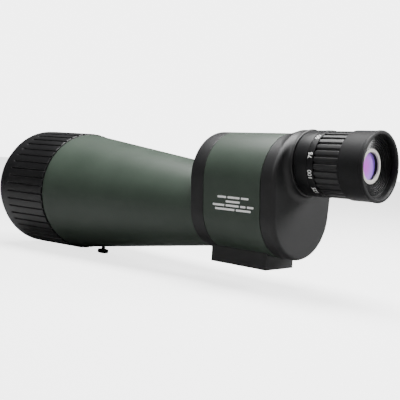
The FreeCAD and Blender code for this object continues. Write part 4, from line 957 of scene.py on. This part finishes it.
@dataclass
class Housing(SubAssembly):
    """The housing's sleeve, front trim and rear cover with its eyepiece boss.

    Attributes:
        hull: The outline across the optical axis.
        sleeve: Rear and front ends of the green sleeve, in millimetres.
        sleeve_wall: Its thickness.
        seam_edge: Rounding of the edges at the seams.
        trim: Rear and front ends of the black front trim.
        trim_edge: Rounding of the trim's front edge.
        trim_bore: Radius of the hole for the barrel.
        trim_inset: How far inside the outline the trim's flat ends reach before the bore.
        cover: Rear and front ends of the black rear cover.
        cover_edge: Rounding of the cover's rear edge.
        cover_wall: Thickness of the cover.
        boss_rear: Rear end of the boss.
        boss_radii: Radius of the boss at the cover's front and at its rear.
        boss_sweep: Power with which the radius changes between the two.
        boss_bore: Bore of the boss.
        boss_lip: Rounding of the boss's rear edge.
        boss_blend: Size of the fillet between the boss and the cover.
        blend_start: Distance behind the cover's front where the fillet starts.
        blend_reach: Length over which the fillet grows to its size.
        net_step: Grid spacing of the blended cover.
        net_margins: Room round the cover in the grid: sideways, along and below, and above.
    """

    hull: Hull = field(default_factory=Hull)
    sleeve: tuple[float, float] = (-32.65, 21.85)
    sleeve_wall: float = 1.6
    seam_edge: float = 0.35
    trim: tuple[float, float] = (22.15, 36.1)
    trim_edge: float = 2.4
    trim_bore: float = 31.7
    trim_inset: float = 4.5
    cover: tuple[float, float] = (-44.9, -32.95)
    cover_edge: float = 3.0
    cover_wall: float = 1.8
    boss_rear: float = -50.4
    boss_radii: tuple[float, float] = (21.2, 24.3)
    boss_sweep: float = 1.5
    boss_bore: float = 20.9
    boss_lip: float = 0.6
    boss_blend: float = 7.0
    blend_start: float = 0.5
    blend_reach: float = 9.0
    net_step: float = 0.5
    net_margins: tuple[float, float, float] = (1.5, 1.2, 2.0)

    def build(self) -> None:
        """Builds the sleeve, the trim, the cover and the printed bars."""
        self.build_sleeve()
        self.build_trim()
        self.build_cover()
        Print(self.hull).build()

    def build_sleeve(self) -> None:
        """Builds the green sleeve with the window for the foot."""
        rear, front = self.sleeve
        wall = self.sleeve_wall
        edge = self.seam_edge
        corners = [(rear, 0.0, edge), (front, 0.0, edge), (front, wall, 0.0), (rear, wall, 0.0)]
        sleeve = hull_shell("armour_sleeve", self.hull, corners, PAINTS.of(Surface.GREEN_ARMOUR))
        cutter = FootWindow().block()
        modifier = sleeve.modifiers.new("window", "BOOLEAN")
        modifier.object = cutter
        modifier.solver = "EXACT"
        bpy.context.view_layer.update()
        graph = bpy.context.evaluated_depsgraph_get()
        cut = bmesh.new()
        cut.from_mesh(sleeve.evaluated_get(graph).to_mesh())
        sleeve.modifiers.clear()
        for spare in (sleeve, cutter):
            bpy.data.objects.remove(spare)
        piece = finished("armour_sleeve", cut, PAINTS.of(Surface.GREEN_ARMOUR))
        self.add(piece, Surface.GREEN_ARMOUR, "housing_armour")

    def build_trim(self) -> None:
        """Builds the black trim that closes the housing round the barrel."""
        rear, front = self.trim
        outline = self.hull.outline()
        centre = Vector((0.0, OBJECTIVE.height / MM))
        inset = self.trim_inset
        corners = [(rear, 0.0, self.seam_edge), (front, 0.0, self.trim_edge)]
        profile = rounded([*corners, (front, inset, 0.0), (rear, inset, 0.0)])
        rows = [[placed(p - n * depth, along) for p, n in outline] for along, depth in profile]
        spokes = [centre + (point - centre).normalized() * self.trim_bore for point, _ in outline]
        bores = [[placed(spot, along) for spot in spokes] for along in (front, rear)]
        cut = next(place for place, (_, depth) in enumerate(profile) if depth == inset)
        rows = rows[:cut] + bores + rows[cut + 2 :]
        builder = bmesh.new()
        skin(builder, rows)
        piece = finished("front_trim_shell", builder, PAINTS.of(Surface.BLACK_ARMOUR))
        self.add(piece, Surface.BLACK_ARMOUR, "front_trim")

    def cover_field(self, x: np.ndarray, y: np.ndarray, z: np.ndarray) -> np.ndarray:
        """Signed distance of the rear cover's shell."""
        rear, front = self.cover
        outline = self.hull.distance(x, z)
        block = rounded_edge(outline, rear - y, self.cover_edge)
        share = (front - y) / (front - self.boss_rear)
        radius = self.boss_radii[0] + (self.boss_radii[1] - self.boss_radii[0]) * share**self.boss_sweep
        from_axis = np.hypot(x, z - EYEPIECE.height / MM)
        grown = np.clip((front - self.blend_start - y) / self.blend_reach, 0.0, 1.0)
        solid = smooth_union(block, from_axis - radius, self.boss_blend * grown)
        solid = np.maximum(rounded_edge(solid, self.boss_rear - y, self.boss_lip), y - front)
        inside = np.maximum(outline + self.cover_wall, rear + self.cover_wall - y)
        hollow = np.minimum(inside, from_axis - self.boss_bore)
        return np.maximum(solid, -hollow)

    def build_cover(self) -> None:
        """Builds the rear cover blended into its boss."""
        side, end, above = self.net_margins
        reach = self.hull.top_radius + side
        low = (-reach, self.boss_rear - end, self.hull.bottom_height - self.hull.bottom_radius - end)
        high = (reach, self.cover[1] + end, EYEPIECE.height / MM + self.boss_radii[1] + above)
        points, quads = surface_net(self.cover_field, low, high, self.net_step)
        points = settled(self.cover_field, points) * MM
        builder = bmesh.new()
        corners = [builder.verts.new(point) for point in points]
        for quad in quads:
            builder.faces.new([corners[index] for index in quad])
        piece = finished("rear_cover_shell", builder, PAINTS.of(Surface.BLACK_ARMOUR))
        self.add(piece, Surface.BLACK_ARMOUR, "rear_armour")


@dataclass
class Print(SubAssembly):
    """Plain printed bars on the sleeve's left side.

    Attributes:
        hull: The outline that the bars lie on.
        rows: Share of the way down the straight side, and the lengths of the row's dashes, in millimetres.
        middle: Place along the optical axis that every row is centred on.
        bar_height: Height of a bar.
        gap: Gap between dashes.
        film: Height of the print above the sleeve.
        sunk: How deep it starts in the sleeve.
        corner_share: Size of the cut corners, as a share of half a bar's height.
    """

    hull: Hull
    rows: tuple[tuple[float, tuple[float, ...]], ...] = (
        (0.50, (8.5, 11.5, 7.0)),
        (0.64, (13.5,)),
        (0.77, (11.5, 12.5, 5.0, 6.0)),
        (0.90, (19.0, 14.0)),
    )
    middle: float = -7.7
    bar_height: float = 1.5
    gap: float = 1.4
    film: float = 0.06
    sunk: float = 0.05
    corner_share: float = 0.45

    def build(self) -> None:
        """Builds every bar as part of one thin piece."""
        builder = bmesh.new()
        for share, dashes in self.rows:
            start = self.middle + (sum(dashes) + self.gap * (len(dashes) - 1)) / 2
            for length in dashes:
                self.dash(builder, share, start, length)
                start -= length + self.gap
        piece = finished("printed_bars", builder, PAINTS.white_print())
        self.add(piece, Surface.LIGHT_RING)

    def dash(self, builder: bmesh.types.BMesh, share: float, front: float, length: float) -> None:
        """Adds one dash, a thin slab with cut corners.

        Args:
            builder: The mesh that gets the dash.
            share: How far down the straight side the dash lies, as a share.
            front: Place of its front end along the optical axis, in millimetres.
            length: Its length.
        """
        hull = self.hull
        side = math.asin((hull.bottom_radius - hull.top_radius) / (hull.top_height - hull.bottom_height))
        middle, normal = hull.between(math.pi - side, share)
        down = Vector((-normal.y, normal.x))
        if down.y > 0:
            down = -down
        half = self.bar_height / 2
        cut = half * self.corner_share
        back = front - length
        flat = [
            (front, -half + cut),
            (front - cut, -half),
            (back + cut, -half),
            (back, -half + cut),
            (back, half - cut),
            (back + cut, half),
            (front - cut, half),
            (front, half - cut),
        ]
        faces = [
            [placed(middle + down * across + normal * lift, along) for along, across in flat]
            for lift in (-self.sunk, self.film)
        ]
        slab(builder, *faces)


@dataclass
class FootWindow:
    """The block that cuts the sleeve's window for the tripod foot.

    Attributes:
        width: Size of the foot across the scope, in millimetres.
        length: Size of the foot along the optical axis.
        margin: Clearance round the foot.
        corner: Rounding of the upright corners.
        heights: Bottom and top of the block.
    """

    width: float = 32.0
    length: float = 54.2
    margin: float = 0.25
    corner: float = 1.2
    heights: tuple[float, float] = (-1.0, 12.0)

    def block(self) -> bpy.types.Object:
        """Builds the block."""
        half = self.width / 2 + self.margin
        long = self.length / 2 + self.margin
        signs = ((1, 1), (-1, 1), (-1, -1), (1, -1))
        flat = rounded([(half * across, long * along, self.corner) for across, along in signs])
        builder = bmesh.new()
        slab(builder, *([Vector((x, y, z)) * MM for x, y in flat] for z in self.heights))
        return finished("foot_cutter", builder, PAINTS.of(Surface.BLACK_ANODISED))


@dataclass
class Barrel(SubAssembly):
    """The tapered green barrel.

    Attributes:
        spigot: Rear end and radii of the threaded rear end, in millimetres.
        cone: Where the cone starts and ends.
        cone_radii: Radius of the cone at its ends.
        band_end: Where the front band ends.
        band_radius: Radius of the band.
        band_ease: How much the band narrows toward its front end.
        neck: Front end, radius and bore of the neck inside the focus ring.
        wall: Thickness of the cone.
        roundings: Rounding of the band's foot, of its front end and of the neck's end.
    """

    spigot: tuple[float, float, float] = (25.0, 28.6, 31.4)
    cone: tuple[float, float] = (36.1, 202.4)
    cone_radii: tuple[float, float] = (31.6, 53.4)
    band_end: float = 206.9
    band_radius: float = 54.2
    band_ease: float = 0.3
    neck: tuple[float, float, float] = (236.4, 51.2, 49.7)
    wall: float = 2.2
    roundings: tuple[float, float, float] = (3.0, 0.6, 0.3)

    def build(self) -> None:
        """Builds the barrel as one turned piece."""
        spigot_rear, spigot_bore, spigot_radius = self.spigot
        cone_rear, cone_front = self.cone
        neck_front, neck_radius, neck_bore = self.neck
        shoulder = cone_front - self.wall * 2
        foot, end, lip = self.roundings
        corners = [
            (spigot_rear, spigot_bore, 0.0),
            (spigot_rear, spigot_radius, 0.0),
            (cone_rear, spigot_radius, 0.0),
            (cone_rear, self.cone_radii[0], 0.0),
            (cone_front, self.cone_radii[1], foot),
            (self.band_end, self.band_radius - self.band_ease, end),
            (self.band_end, neck_radius, 0.0),
            (neck_front, neck_radius, lip),
            (neck_front, neck_bore, lip),
            (cone_front, neck_bore, 0.0),
            (shoulder, neck_bore, 0.0),
            (cone_rear + self.wall, self.cone_radii[0] - self.wall, 0.0),
            (cone_rear + self.wall, spigot_bore, 0.0),
        ]
        piece = lathe("barrel_shell", OBJECTIVE, corners, PAINTS.of(Surface.GREEN_BARREL))
        self.add(piece, Surface.GREEN_BARREL, "objective_barrel")


@dataclass
class FrontRing(SubAssembly):
    """The ribbed focus grip round the objective.

    Attributes:
        array: The node group that repeats the ribs.
        body: The body it rides.
        rear: Rear end, in millimetres.
        front: Front end.
        band: Length of the smooth band at the front.
        radii: Outer radius at the rear and at the front.
        core: Bore over the ring's core.
        mouth: Bore of the front lip.
        lip: Length of the front lip.
        seam: How far the rubber stops short of the ring's rear end.
        roundings: Rounding of the rear edge, the front edge and the mouth.
        ribs: The grip's ribs.
    """

    array: PolarArray
    body: str = "focus_group"
    rear: float = 207.6
    front: float = 276.2
    band: float = 12.0
    radii: tuple[float, float] = (55.0, 56.0)
    core: float = 53.2
    mouth: float = 52.5
    lip: float = 0.6
    seam: float = 0.25
    roundings: tuple[float, float, float] = (0.25, 1.1, 0.3)
    ribs: Ribs = Ribs(48, 2.1, 1.1, 264.2, 3.0)

    def build(self) -> None:
        """Builds the grip."""
        rear_radius, front_radius = self.radii
        rear_edge, front_edge, mouth_edge = self.roundings
        start = self.rear + self.seam
        step = self.front - self.lip
        outer = [
            (start, rear_radius, rear_edge),
            (self.front - self.band, front_radius, 0.0),
            (self.front, front_radius, front_edge),
        ]
        inner = [
            (self.front, self.mouth, mouth_edge),
            (step, self.mouth, 0.0),
            (step, self.core, 0.0),
            (start, self.core, 0.0),
        ]
        paint = PAINTS.of(Surface.GRIP_RUBBER)
        ring = ribbed_ring("focus_grip_ribs", OBJECTIVE, outer, inner, self.ribs, paint, self.array)
        self.add(ring, Surface.GRIP_RUBBER, "focus_grip")


@dataclass
class Sunshade(SubAssembly):
    """The sliding sunshade, of which only the rolled lip shows when it is in.

    Attributes:
        body: The body it rides.
        rear: Rear end, in millimetres.
        front: Front end.
        radius: Outer radius.
        wall: Thickness.
        bead: Size of the rolled lip.
        roundings: Rounding of the rear edges, the lip's two inner steps and its outer edge.
    """

    body: str = "sunshade_group"
    rear: float = 239.2
    front: float = 284.0
    radius: float = 52.2
    wall: float = 1.4
    bead: float = 0.9
    roundings: tuple[float, float, float, float] = (0.2, 0.6, 0.5, 0.7)

    def build(self) -> None:
        """Builds the tube."""
        end, root, step, lip = self.roundings
        inner = self.radius - self.wall
        proud = inner - self.bead / 2
        corners = [
            (self.rear, inner, end),
            (self.front - self.bead * 2, inner, root),
            (self.front - self.bead, proud, step),
            (self.front, proud, root),
            (self.front, self.radius, lip),
            (self.rear, self.radius, end),
        ]
        piece = lathe("sunshade_tube", OBJECTIVE, corners, PAINTS.of(Surface.SHADE_PAINT))
        self.add(piece, Surface.SHADE_PAINT, "sunshade")


@dataclass
class Collar(SubAssembly):
    """The fixed collar behind the boss.

    Attributes:
        front: Front end, in millimetres.
        rear: Rear end.
        radius: Outer radius.
        nose_bore: Bore round the zoom ring's nose.
        bore: Bore on the eyepiece tube.
        step: Where the two bores meet.
        roundings: Rounding of the front and the rear edge.
    """

    front: float = -50.6
    rear: float = -61.7
    radius: float = 23.4
    nose_bore: float = 21.6
    bore: float = 17.95
    step: float = -55.1
    roundings: tuple[float, float] = (0.8, 0.3)

    def build(self) -> None:
        """Builds the collar."""
        corners = [
            (self.front, self.bore, 0.0),
            (self.front, self.radius, self.roundings[0]),
            (self.rear, self.radius, self.roundings[1]),
            (self.rear, self.nose_bore, 0.0),
            (self.step, self.nose_bore, 0.0),
            (self.step, self.bore, 0.0),
        ]
        piece = lathe("collar_ring", EYEPIECE, corners, PAINTS.of(Surface.BLACK_ANODISED))
        self.add(piece, Surface.BLACK_ANODISED, "eyepiece_collar")


class Reading(Enum):
    """The magnifications on the zoom ring; each value is its angle from the top, in degrees."""

    LOW = ("25", -5.0)
    SECOND = ("50", -40.4)
    THIRD = ("75", -77.4)
    FOURTH = ("100", -109.9)
    HIGH = ("125", -142.9)


@dataclass
class ZoomRing(SubAssembly):
    """The zoom ring: number band, numbers and ribbed grip.

    Attributes:
        array: The node group that repeats the ribs.
        body: The body it rides.
        band: Front and rear ends of the number band, in millimetres.
        band_radius: Its radius.
        core: Front end, rear end, bore and radius of the core.
        grip_radius: Outer radius of the grip.
        ribs: The grip's ribs.
        number_size: Height of the numbers.
        number_place: Middle of the numbers along the axis.
        number_em: Size of the letters' body, as a share of their height.
        number_depth: Half the thickness of the numbers.
        number_weight: How much the strokes are thickened.
        number_lift: How far the middle of the numbers stands above the band.
        roundings: Rounding of the band's rear edge, its front edge and the grip's edges.
    """

    array: PolarArray
    body: str = "zoom_group"
    band: tuple[float, float] = (-62.0, -66.9)
    band_radius: float = 23.5
    core: tuple[float, float, float, float] = (-55.4, -86.0, 19.7, 21.3)
    grip_radius: float = 23.1
    ribs: Ribs = Ribs(30, 2.4, 1.0, -60.0, 1.0)
    number_size: float = 3.3
    number_place: float = -64.5
    number_em: float = 1.38
    number_depth: float = 0.06
    number_weight: float = 0.02
    number_lift: float = 0.04
    roundings: tuple[float, float, float] = (0.4, 0.3, 0.7)

    def build(self) -> None:
        """Builds the ring, its numbers and its grip."""
        front, rear = self.band
        nose, tail, bore, radius = self.core
        rear_edge, front_edge, grip_edge = self.roundings
        corners = [
            (tail, bore, 0.0),
            (tail, radius, 0.0),
            (rear, radius, 0.0),
            (rear, self.band_radius, rear_edge),
            (front, self.band_radius, front_edge),
            (front, radius, 0.0),
            (nose, radius, 0.0),
            (nose, bore, 0.0),
        ]
        piece = lathe("zoom_band", EYEPIECE, corners, PAINTS.of(Surface.BLACK_ANODISED))
        self.add(piece, Surface.BLACK_ANODISED, "zoom_ring")
        outer = [(tail, self.grip_radius, grip_edge), (rear, self.grip_radius, grip_edge)]
        inner = [(rear, radius, 0.0), (tail, radius, 0.0)]
        paint = PAINTS.of(Surface.GRIP_RUBBER)
        grip = ribbed_ring("zoom_grip_ribs", EYEPIECE, outer, inner, self.ribs, paint, self.array)
        self.add(grip, Surface.GRIP_RUBBER, "zoom_grip")
        self.add(self.numbers(), Surface.LIGHT_RING)

    def numbers(self) -> bpy.types.Object:
        """Builds the white numbers, wrapped round the band."""
        builder = bmesh.new()
        for reading in Reading:
            text, degrees = reading.value
            flat = self.glyphs(text)
            for vertex in flat.verts:
                vertex.co = self.wrapped(vertex.co, math.radians(degrees))
            spare = bpy.data.meshes.new("number")
            flat.to_mesh(spare)
            flat.free()
            builder.from_mesh(spare)
            bpy.data.meshes.remove(spare)
        return finished("zoom_numbers", builder, PAINTS.white_print())

    def glyphs(self, text: str) -> bmesh.types.BMesh:
        """The solid letters of a number, flat, in millimetres, centred on the origin."""
        curve = bpy.data.curves.new("number", "FONT")
        curve.body = text
        curve.size = self.number_size * self.number_em
        curve.align_x = "CENTER"
        curve.align_y = "CENTER"
        curve.extrude = self.number_depth
        curve.offset = self.number_weight
        curve.resolution_u = 4
        holder = bpy.data.objects.new("number", curve)
        bpy.context.scene.collection.objects.link(holder)
        bpy.context.view_layer.update()
        graph = bpy.context.evaluated_depsgraph_get()
        mesh = bpy.data.meshes.new_from_object(holder.evaluated_get(graph), depsgraph=graph)
        flat = bmesh.new()
        flat.from_mesh(mesh)
        bmesh.ops.remove_doubles(flat, verts=flat.verts, dist=1e-4)
        bpy.data.objects.remove(holder)
        bpy.data.curves.remove(curve)
        bpy.data.meshes.remove(mesh)
        return flat

    def wrapped(self, spot: Vector, angle: float) -> Vector:
        """Moves a flat point of a number, tops toward the target, onto the band."""
        turn = angle + spot.x / self.band_radius
        radius = self.band_radius + self.number_lift + spot.z
        return EYEPIECE.at(radius * MM, (self.number_place + spot.y) * MM, turn)


@dataclass
class EyeEnd(SubAssembly):
    """The eyecup, the stepped dish, the eye lens and the pale ring that holds it.

    Attributes:
        cup: Front end, rear end, outer radius and mouth radius of the eyecup, in millimetres.
        cup_gap: How far its seat stays clear of the dish.
        cup_bevel: Width and depth of the bevel at its mouth.
        cup_roundings: Rounding at its front, the rim's foot, the rim's front, its lip and its mouth.
        lip: Radius and length of its proud rim.
        lip_rise: Length over which the rim rises.
        dish: Front and rear of the stepped dish, and its rim's radius.
        dish_steps: How many steps the dish has.
        dish_groove: How far each step slopes down toward its rise.
        dish_gap: Clearance between the dish and the retaining ring.
        dish_roundings: Rounding of the dish's rim, of its grooves and of its steps.
        tube_length: Length of the tube in front of the housing.
        tube_wall: Thickness of that tube.
        seat_depth: Thickness of the lens's seat.
        housing: Front end, radius and tube radius of the lens housing.
        ring: Front end, rear end, bore and radius of the lens's retaining ring.
        ring_face: Depth of the ring's pale rear face; the rest of it is black.
        ring_bevel: How much wider the ring's bore is at its rear face.
        lens: Front end, rim and bulge of the eye lens.
        edge: Rounding of the small edges.
    """

    cup: tuple[float, float, float, float] = (-86.3, -105.3, 23.8, 21.2)
    cup_gap: float = 0.01
    cup_bevel: tuple[float, float] = (0.5, 1.4)
    cup_roundings: tuple[float, float, float, float, float] = (0.9, 0.5, 0.4, 0.8, 0.6)
    lip: tuple[float, float] = (24.1, 2.4)
    lip_rise: float = 0.5
    dish: tuple[float, float, float] = (-98.3, -101.0, 19.4)
    dish_steps: int = 6
    dish_groove: float = 0.7
    dish_gap: float = 0.05
    dish_roundings: tuple[float, float, float] = (0.15, 0.08, 0.25)
    tube_length: float = 1.7
    tube_wall: float = 1.6
    seat_depth: float = 1.2
    housing: tuple[float, float, float] = (-86.3, 22.0, 17.8)
    ring: tuple[float, float, float, float] = (-94.8, -98.0, 9.3, 11.9)
    # ring_face: Depth of the ring's pale rear face; the rest of it, whose bore is the wall of the recess
    # before the lens, is black as painted shade.
    ring_face: float = 0.9
    ring_bevel: float = 0.5
    lens: tuple[float, float, float] = (-90.8, -94.8, 0.6)
    edge: float = 0.3

    def build(self) -> None:
        """Builds the cup, the dish, the ring and the lens."""
        self.build_cup()
        self.build_dish()
        front, rear, bore, radius = self.ring
        face = rear + self.ring_face
        corners = [
            (face, bore, 0.0),
            (face, radius, 0.0),
            (rear, radius, self.edge),
            (rear, bore + self.ring_bevel, self.edge),
        ]
        ring = lathe("eye_lens_ring_face", EYEPIECE, corners, PAINTS.of(Surface.LIGHT_RING))
        self.add(ring, Surface.LIGHT_RING, "eye_lens_ring")
        # Painted shade: the ring's bore and front get the black finish so the recess wall before the lens
        # reads dark.
        corners = [(front, bore, 0.0), (front, radius, 0.0), (face, radius, 0.0), (face, bore, 0.0)]
        sleeve = lathe("eye_lens_ring_painted_shade_sleeve", EYEPIECE, corners, PAINTS.of(Surface.INNER_BLACK))
        self.add(sleeve, Surface.INNER_BLACK)
        self.build_lens()

    def build_cup(self) -> None:
        """Builds the rubber eyecup."""
        front, rear, radius, mouth = self.cup
        lip_radius, lip_length = self.lip
        seat = self.dish[1] - self.cup_gap
        front_edge, foot_edge, rise_edge, lip_edge, mouth_edge = self.cup_roundings
        bevel, depth = self.cup_bevel
        corners = [
            (front, self.housing[1], 0.0),
            (front, radius, front_edge),
            (rear + lip_length, radius, foot_edge),
            (rear + lip_length - self.lip_rise, lip_radius, rise_edge),
            (rear, lip_radius, lip_edge),
            (rear, mouth + bevel, mouth_edge),
            (rear + depth, mouth, lip_edge),
            (seat, mouth, 0.0),
            (seat, self.housing[1], 0.0),
        ]
        cup = lathe("eyecup_rubber", EYEPIECE, corners, PAINTS.of(Surface.EYECUP_RUBBER))
        self.add(cup, Surface.EYECUP_RUBBER, "eyecup")

    def build_dish(self) -> None:
        """Builds the lens housing with its stepped dish."""
        front, rear, rim = self.dish
        housing_front, radius, tube = self.housing
        seat = self.ring[3] + self.dish_gap
        tube_rear = housing_front - self.tube_length
        rim_edge, groove_edge, step_edge = self.dish_roundings
        corners = [
            (tube_rear, tube, 0.0),
            (housing_front, tube, 0.0),
            (housing_front, radius, 0.0),
            (rear, radius, 0.0),
            (rear, rim, rim_edge),
        ]
        for step in reversed(range(self.dish_steps)):
            inner = seat + (rim - seat) * step / self.dish_steps
            outer = seat + (rim - seat) * (step + 1) / self.dish_steps
            place = front + (rear - front) * step / self.dish_steps
            corners.append((place + self.dish_groove, outer, groove_edge))
            corners.append((place, inner, step_edge))
        lens_front = self.lens[0]
        bore = self.ring[2]
        corners += [(lens_front, seat, 0.0), (lens_front, bore, 0.0)]
        corners += [(lens_front + self.seat_depth, bore, 0.0), (tube_rear, tube - self.tube_wall, 0.0)]
        dish = lathe("eye_dish", EYEPIECE, corners, PAINTS.of(Surface.INNER_BLACK))
        self.add(dish, Surface.INNER_BLACK, "eye_lens_housing")

    def build_lens(self) -> None:
        """Builds the domed eye lens."""
        front, edge, bulge = self.lens
        radius = self.ring[3]
        corners = [(front, 0.0, 0.0), (front, radius, 0.0)]
        for step in range(LENS_STEPS + 1):
            share = 1 - step / LENS_STEPS
            corners.append((edge - bulge * (1 - share * share), radius * share, 0.0))
        lens = lathe("eye_lens_dome", EYEPIECE, corners, PAINTS.of(Surface.EYE_COATING), 128)
        self.add(lens, Surface.EYE_COATING, "eye_lens")


# ---- studio --------------------------------------------------------------------------------------------


@dataclass
class Studio:
    """The camera, the lights and the pale floor.

    Attributes:
        eye: Where the camera stands, in metres.
        heading: Its heading from the optical axis, in degrees.
        pitch: Its pitch.
        roll: Its roll.
        lens: Its focal length in millimetres.
        shift: Its lens shift.
        floor_height: Height of the floor.
        floor_radii: Radii of the floor's rings of faces.
        floor_sides: Facets round the floor.
        surround: Strength of the surround's light on the scope.
        backdrop: Strength of the surround where it shows behind the scope.
        floor_glow: How much the floor is brightened where it is seen.
    """

    eye: tuple[float, float, float] = (-0.40381, -0.3372, 0.07365)
    heading: float = 47.28
    pitch: float = -2.46
    roll: float = 3.6
    lens: float = 62.235
    shift: tuple[float, float] = (-0.053, -0.012)
    floor_height: float = -0.016
    floor_radii: tuple[float, ...] = (0.0, 0.5, 1.5, 4.0, 12.0)
    floor_sides: int = 64
    surround: float = 0.05
    backdrop: float = 5.0
    floor_glow: float = 2.5

    def build(self) -> None:
        """Builds everything that isn't the scope."""
        self.build_camera()
        self.build_floor()
        self.build_world()
        self.light("top_box", (0.0, 0.0, 0.85), (0.0, 0.06, 0.0), (0.45, 0.9), 30.0)
        self.light("rear_box", (0.75, -0.9, 0.65), (0.0, 0.0, 0.04), (0.5, 0.4), 30.0)
        self.light("left_box", (-1.1, 0.1, 0.9), (0.0, 0.05, 0.05), (0.5, 0.3), 5.0)

    def build_camera(self) -> None:
        """Makes the camera and gives it to the scene."""
        heading, pitch, roll = (math.radians(angle) for angle in (self.heading, self.pitch, self.roll))
        level = math.cos(pitch)
        ahead = Vector((math.sin(heading) * level, math.cos(heading) * level, math.sin(pitch)))
        right = Vector((math.cos(heading), -math.sin(heading), 0.0))
        above = right.cross(ahead)
        right_rolled = right * math.cos(roll) + above * math.sin(roll)
        above_rolled = above * math.cos(roll) - right * math.sin(roll)
        data = bpy.data.cameras.new("camera")
        data.lens = self.lens
        data.sensor_width = 36.0
        data.shift_x, data.shift_y = self.shift
        data.clip_start = 0.01
        camera = bpy.data.objects.new("camera", data)
        bpy.context.scene.collection.objects.link(camera)
        turned = Matrix((right_rolled, above_rolled, -ahead)).transposed().to_4x4()
        camera.matrix_world = Matrix.Translation(self.eye) @ turned
        bpy.context.scene.camera = camera

    def build_floor(self) -> None:
        """Makes a pale floor, far larger than the scope."""
        shader = Shader("studio_floor")
        shader.set(Base_Color=(0.6, 0.6, 0.6), Roughness=0.7 + shader.noise(3.0) * 0.1)
        shader.set(Emission_Color=(1.0, 1.0, 1.0), Emission_Strength=self.floor_glow)
        dim = shader.tree.nodes.new("ShaderNodeBsdfDiffuse")
        dim.inputs["Color"].default_value = (0.25, 0.25, 0.25, 1.0)
        seen = shader.tree.nodes.new("ShaderNodeLightPath")
        choice = shader.tree.nodes.new("ShaderNodeMixShader")
        shader.tree.links.new(seen.outputs["Is Camera Ray"], choice.inputs[0])
        shader.tree.links.new(dim.outputs[0], choice.inputs[1])
        shader.tree.links.new(shader.surface.outputs[0], choice.inputs[2])
        shader.tree.links.new(choice.outputs[0], shader.output.inputs[0])
        builder = bmesh.new()
        turns = [math.tau * step / self.floor_sides for step in range(self.floor_sides)]
        rim = [(math.cos(angle), math.sin(angle)) for angle in turns]
        rings = []
        for radius in self.floor_radii:
            rings.append([Vector((radius * x, radius * y, self.floor_height)) for x, y in rim])
        skin(builder, rings, wrap=False)
        floor = finished("studio_floor", builder, shader.material)

    def build_world(self) -> None:
        """Makes a surround that looks white and lights the scope dimly."""
        world = bpy.data.worlds.new("studio")
        world.use_nodes = True
        tree = world.node_tree
        background = tree.nodes["Background"]
        background.inputs["Color"].default_value = (1.0, 1.0, 1.0, 1.0)
        path = tree.nodes.new("ShaderNodeLightPath")
        strength = tree.nodes.new("ShaderNodeMapRange")
        strength.inputs["To Min"].default_value = self.surround
        strength.inputs["To Max"].default_value = self.backdrop
        tree.links.new(path.outputs["Is Camera Ray"], strength.inputs["Value"])
        tree.links.new(strength.outputs[0], background.inputs["Strength"])
        bpy.context.scene.world = world

    def light(
        self,
        name: str,
        place: tuple[float, float, float],
        target: tuple[float, float, float],
        size: tuple[float, float],
        power: float,
    ) -> None:
        """Adds a soft rectangular light.

        Args:
            name: The light's name.
            place: Where it stands, in metres.
            target: The point it faces.
            size: Its width and height.
            power: Its power in watts.
        """
        data = bpy.data.lights.new(name, "AREA")
        data.shape = "RECTANGLE"
        data.size, data.size_y = size
        data.energy = power
        lamp = bpy.data.objects.new(name, data)
        bpy.context.scene.collection.objects.link(lamp)
        aim = Vector(target) - Vector(place)
        lamp.matrix_world = Matrix.Translation(place) @ aim.to_track_quat("-Z", "Y").to_matrix().to_4x4()


# ---- the whole scene -----------------------------------------------------------------------------------


def paint_nodes() -> None:
    """Gives every CAD node the finish of its slot."""
    for name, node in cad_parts.items():
        for place, held in enumerate(node.data.materials):
            wanted = held.name.split(".")[0]
            node.data.materials[place] = PAINTS.of(Surface(wanted))
        LOG.debug("painted %s", name)


def main() -> None:
    """Builds the scope's looks and its studio."""
    logging.basicConfig(level=logging.INFO, format="%(name)s: %(message)s")
    paint_nodes()
    array = PolarArray()
    for part in (Housing(), Barrel(), FrontRing(array), Sunshade(), Collar(), ZoomRing(array), EyeEnd()):
        LOG.info("building %s", type(part).__name__)
        part.build()
    Studio().build()


if __name__ == "__main__":
    main()
